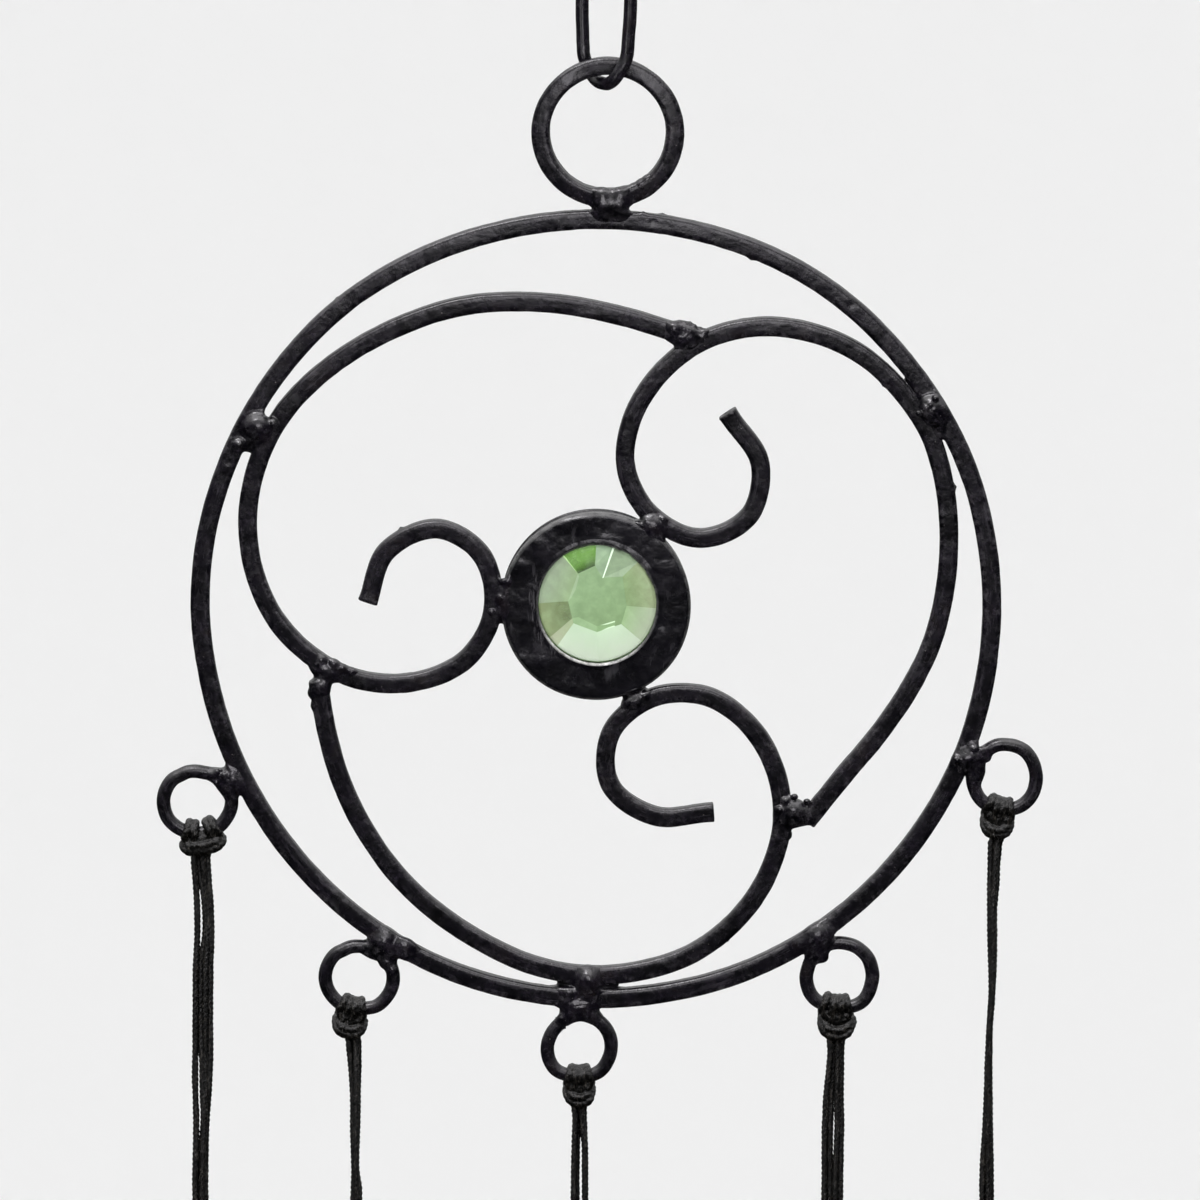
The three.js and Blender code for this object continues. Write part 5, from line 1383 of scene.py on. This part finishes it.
for i in range(5):
    n = i + 1
    x0, z0, _ = hanger(i)
    bx = x0 + CORD_WANDER[i][-1][1]
    wire_z = z0 - 5.8 - 106.5
    crown = wire_z - 5.95
    eye_z = crown - 4.15
    swing = crown - 5.75

    outline = np.array(refine(BELL_OUT + BELL_IN, 0.7))
    profile = np.stack([outline[:, 0], -outline[:, 1]], axis=-1)

    def cast(v, seed=900 + 7 * n):
        out = v.copy()
        deep = -v[..., 2]
        rho = np.hypot(v[..., 0], v[..., 1])
        skin = v + np.array([0, 0, 30.0 * n])
        lift = 0.05 * noise(skin, 5.0, seed) + 0.028 * noise(skin, 1.6, seed + 1) + 0.012 * noise(skin, 0.7, seed + 2)
        lift -= 0.05 * smooth_step(0.5, 0.8, noise(skin, 2.2, seed + 3))
        lift = lift * smooth_step(1.5, 3.0, rho)
        out[..., 0] *= 1 + lift / np.maximum(rho, 1)
        out[..., 1] *= 1 + lift / np.maximum(rho, 1)
        a = np.arctan2(v[..., 1], v[..., 0])
        out[..., 2] += 0.10 * np.sin(2 * a + n) * smooth_step(18, 24, deep)
        return out

    v, f = lathe_z(profile, bx, crown, 96, cast)
    deep = crown - v[:, 2]
    rho = np.hypot(v[:, 0] - bx, v[:, 1])
    wear = np.maximum.reduce([smooth_step(23.2, 24.3, deep) * smooth_step(9.9, 10.5, rho), 0.8 * np.exp(-((deep - 18.1) / 0.45) ** 2) * smooth_step(8.4, 8.9, rho),
                              0.5 * smooth_step(5.3, 6.4, rho) * np.exp(-((deep - 2.2) / 1.6) ** 2), 0.7 * smooth_step(3.0, 2.2, rho) * smooth_step(0.6, 0.1, deep)])
    Shape().add(v, f, wear).build(f"bell_cup_{n}", BRASS, f"drop_{n}", "aged_brass", [f"bell_{n}"])

    # the loop: one wire, bent to an eye above the crown and to an eye for the clapper inside
    upper = wire_eye((bx, 0, wire_z - 2.5), 2.5, "xz", -70, 330)
    stem = [(bx - 0.25, 0, wire_z - 5.05), (bx, 0, wire_z - 5.6), (bx, 0, wire_z - 6.4), (bx, 0, eye_z + 2.6), (bx, 0.05, eye_z + 1.95)]
    lower = wire_eye((bx, 0, eye_z), 1.6, "yz", 78, -326)
    v, f = tube(upper[:-1] + stem + lower, 0.65, step=0.26, around=14, lumps=0.02, seed=940 + n)
    Shape().add(v, f, np.full(len(v), 0.45)).build(f"bell_loop_wire_{n}", BRASS, f"drop_{n}", "aged_brass", [f"bell_loop_{n}"])

    # the clapper: a wire eye, a rod and a turned ball
    ring_eye = wire_eye((bx, 0, swing), 1.6, "xz", -62, 322)
    rod = [(bx - 0.18, 0, swing - 1.75), (bx, 0, swing - 2.3), (bx, 0, swing - 6.0), (bx, 0, swing - 12.0)]
    v, f = tube(ring_eye[:-1] + rod, 0.55, step=0.24, around=12, lumps=0.02, seed=960 + n)
    clapper = Shape().add(v, f, np.full(len(v), 0.4))
    ball = [(0.02, 0.0)]
    zc, rb = swing - 13.6, 2.6
    prof = [(0.56, 3.35), (1.0, 3.3), (1.12, 2.95), (1.0, 2.6)]
    for deg in np.linspace(64, -82, 26):
        a = math.radians(deg)
        r = rb * math.cos(a)
        if abs(deg) < 4:
            r -= 0.12
        prof.append((r, rb * math.sin(a)))
    prof += [(0.30, -2.62), (0.05, -2.66)]
    inside = [(0.05, -2.2), (0.40, 0.0), (0.40, 3.2)]
    v, f = lathe_z(np.array(prof + inside), bx, zc, 40)
    clapper.add(v, f, 0.35 + 0.3 * noise(v, 1.8, 970 + n))
    clapper.build(f"bell_clapper_turned_{n}", BRASS, f"clapper_{n}", "aged_brass", [f"bell_clapper_{n}"])


# ---- the room: a pale floor that sweeps up all round, and soft light ----------------------------
floor_z, flat_r, sweep_r, wall = -0.42, 9.0, 5.0, 14.0
profile = [(0.0, floor_z)] + [(flat_r * k / 12, floor_z) for k in range(1, 13)]
for k in range(1, 17):
    a = math.pi / 2 * k / 16
    profile.append((flat_r + sweep_r * math.sin(a), floor_z + sweep_r * (1 - math.cos(a))))
profile.append((flat_r + sweep_r, floor_z + sweep_r + wall))
around = 96
verts, faces = [(0.0, 0.0, floor_z)], []
for r, z in profile[1:]:
    for k in range(around):
        a = 2 * math.pi * k / around
        verts.append((r * math.cos(a), r * math.sin(a), z))
for k in range(around):
    faces.append((0, 1 + k, 1 + (k + 1) % around))
for ring in range(len(profile) - 2):
    for k in range(around):
        a, b = 1 + ring * around + k, 1 + ring * around + (k + 1) % around
        faces.append((a, a + around, b + around, b))
floor_mesh = bpy.data.meshes.new("floor")
floor_mesh.from_pydata(verts, [], faces)
floor_mesh.polygons.foreach_set("use_smooth", [True] * len(floor_mesh.polygons))
pale = bpy.data.materials.new("pale_floor")
pale.use_nodes = True
shader = next(n for n in pale.node_tree.nodes if n.type == "BSDF_PRINCIPLED")
shader.inputs["Base Color"].default_value = (0.90, 0.90, 0.90, 1)
shader.inputs["Roughness"].default_value = 0.9
shader.inputs["Specular IOR Level"].default_value = 0.1
floor_mesh.materials.append(pale)
floor = bpy.data.objects.new("floor", floor_mesh)
bpy.context.scene.collection.objects.link(floor)
floor.visible_glossy = False

# a white sky; shiny pieces see it above and behind them, and a dark room low in front
world = bpy.data.worlds.new("world")
bpy.context.scene.world = world
world.use_nodes = True
background = next(n for n in world.node_tree.nodes if n.type == "BACKGROUND")
background.inputs["Strength"].default_value = 0.82
look_at = world.node_tree.nodes.new("ShaderNodeTexCoord")
parts = world.node_tree.nodes.new("ShaderNodeSeparateXYZ")
lean_back = world.node_tree.nodes.new("ShaderNodeMath")
lean_back.operation = "MULTIPLY_ADD"
lean_back.inputs[1].default_value = 0.22
height = world.node_tree.nodes.new("ShaderNodeMapRange")
height.inputs["From Min"].default_value, height.inputs["From Max"].default_value = -0.06, 0.52
height.inputs["To Min"].default_value, height.inputs["To Max"].default_value = 0.02, 1.0
world.node_tree.links.new(look_at.outputs["Generated"], parts.inputs[0])
world.node_tree.links.new(parts.outputs["Y"], lean_back.inputs[0])
world.node_tree.links.new(parts.outputs["Z"], lean_back.inputs[2])
world.node_tree.links.new(lean_back.outputs[0], height.inputs["Value"])
world.node_tree.links.new(height.outputs["Result"], background.inputs["Color"])


def softbox(name, elevation, azimuth, away, size, watts, colour=(1, 1, 1), on=None):
    """A soft light on the part alone, or on some of it; azimuth is 0 in front of the part and turns to its right."""
    light = bpy.data.lights.new(name, "AREA")
    light.energy, light.color = watts, colour
    light.shape = "RECTANGLE" if len(size) == 2 else "DISK"
    light.size = size[0]
    if len(size) == 2:
        light.size_y = size[1]
    o = bpy.data.objects.new(name, light)
    e, a = math.radians(elevation), math.radians(azimuth)
    aim = Vector((0.0, 0.0, -0.12))
    o.location = aim + away * Vector((math.cos(e) * math.sin(a), -math.cos(e) * math.cos(a), math.sin(e)))
    o.rotation_mode = "QUATERNION"
    o.rotation_quaternion = (aim - o.location).to_track_quat("-Z", "Y")
    bpy.context.scene.collection.objects.link(o)
    o.visible_camera = False
    o.light_linking.receiver_collection = on or lit
    return o


lit, lit_stone, lit_dull, lit_cord = (bpy.data.collections.new(k) for k in ("lit_by_softboxes", "lit_stone", "lit_dull", "lit_cord"))
for o in bpy.context.scene.objects:
    if o.type == "MESH" and o.name != "floor":
        lit.objects.link(o)
        if o == gem:
            lit_stone.objects.link(o)
        elif not o.name.startswith("cord_hitch"):
            lit_dull.objects.link(o)
        if o.name.startswith(("cord_strands", "hanging_link")):
            lit_cord.objects.link(o)
softbox("overhead", 80, -10, 0.95, (1.5, 1.0), 13.5, (1.0, 0.97, 1.0))
softbox("key", 60, -28, 1.2, (0.30,), 4.8, (0.99, 0.97, 1.0))
softbox("front", 15.6, 2, 0.6, (0.25,), 0.95, (0.98, 0.95, 1.0), lit_dull)  # low, so that it shines off the upper bars most
softbox("stone", 40, 20, 0.5, (0.20,), 2.7, (1, 1, 1), lit_stone)
softbox("cord_streak", -4, -32, 0.6, (0.06, 0.4), 0.55, (1, 1, 1), lit_cord)  # a level strip that runs down the wax and the link's wire
sun = bpy.data.lights.new("sky", "SUN")
sun.energy, sun.angle = 1.45, math.radians(120)
sun_object = bpy.data.objects.new("sky", sun)
bpy.context.scene.collection.objects.link(sun_object)

bpy.context.scene.view_settings.view_transform = "Standard"
bpy.context.scene.view_settings.look = "None"
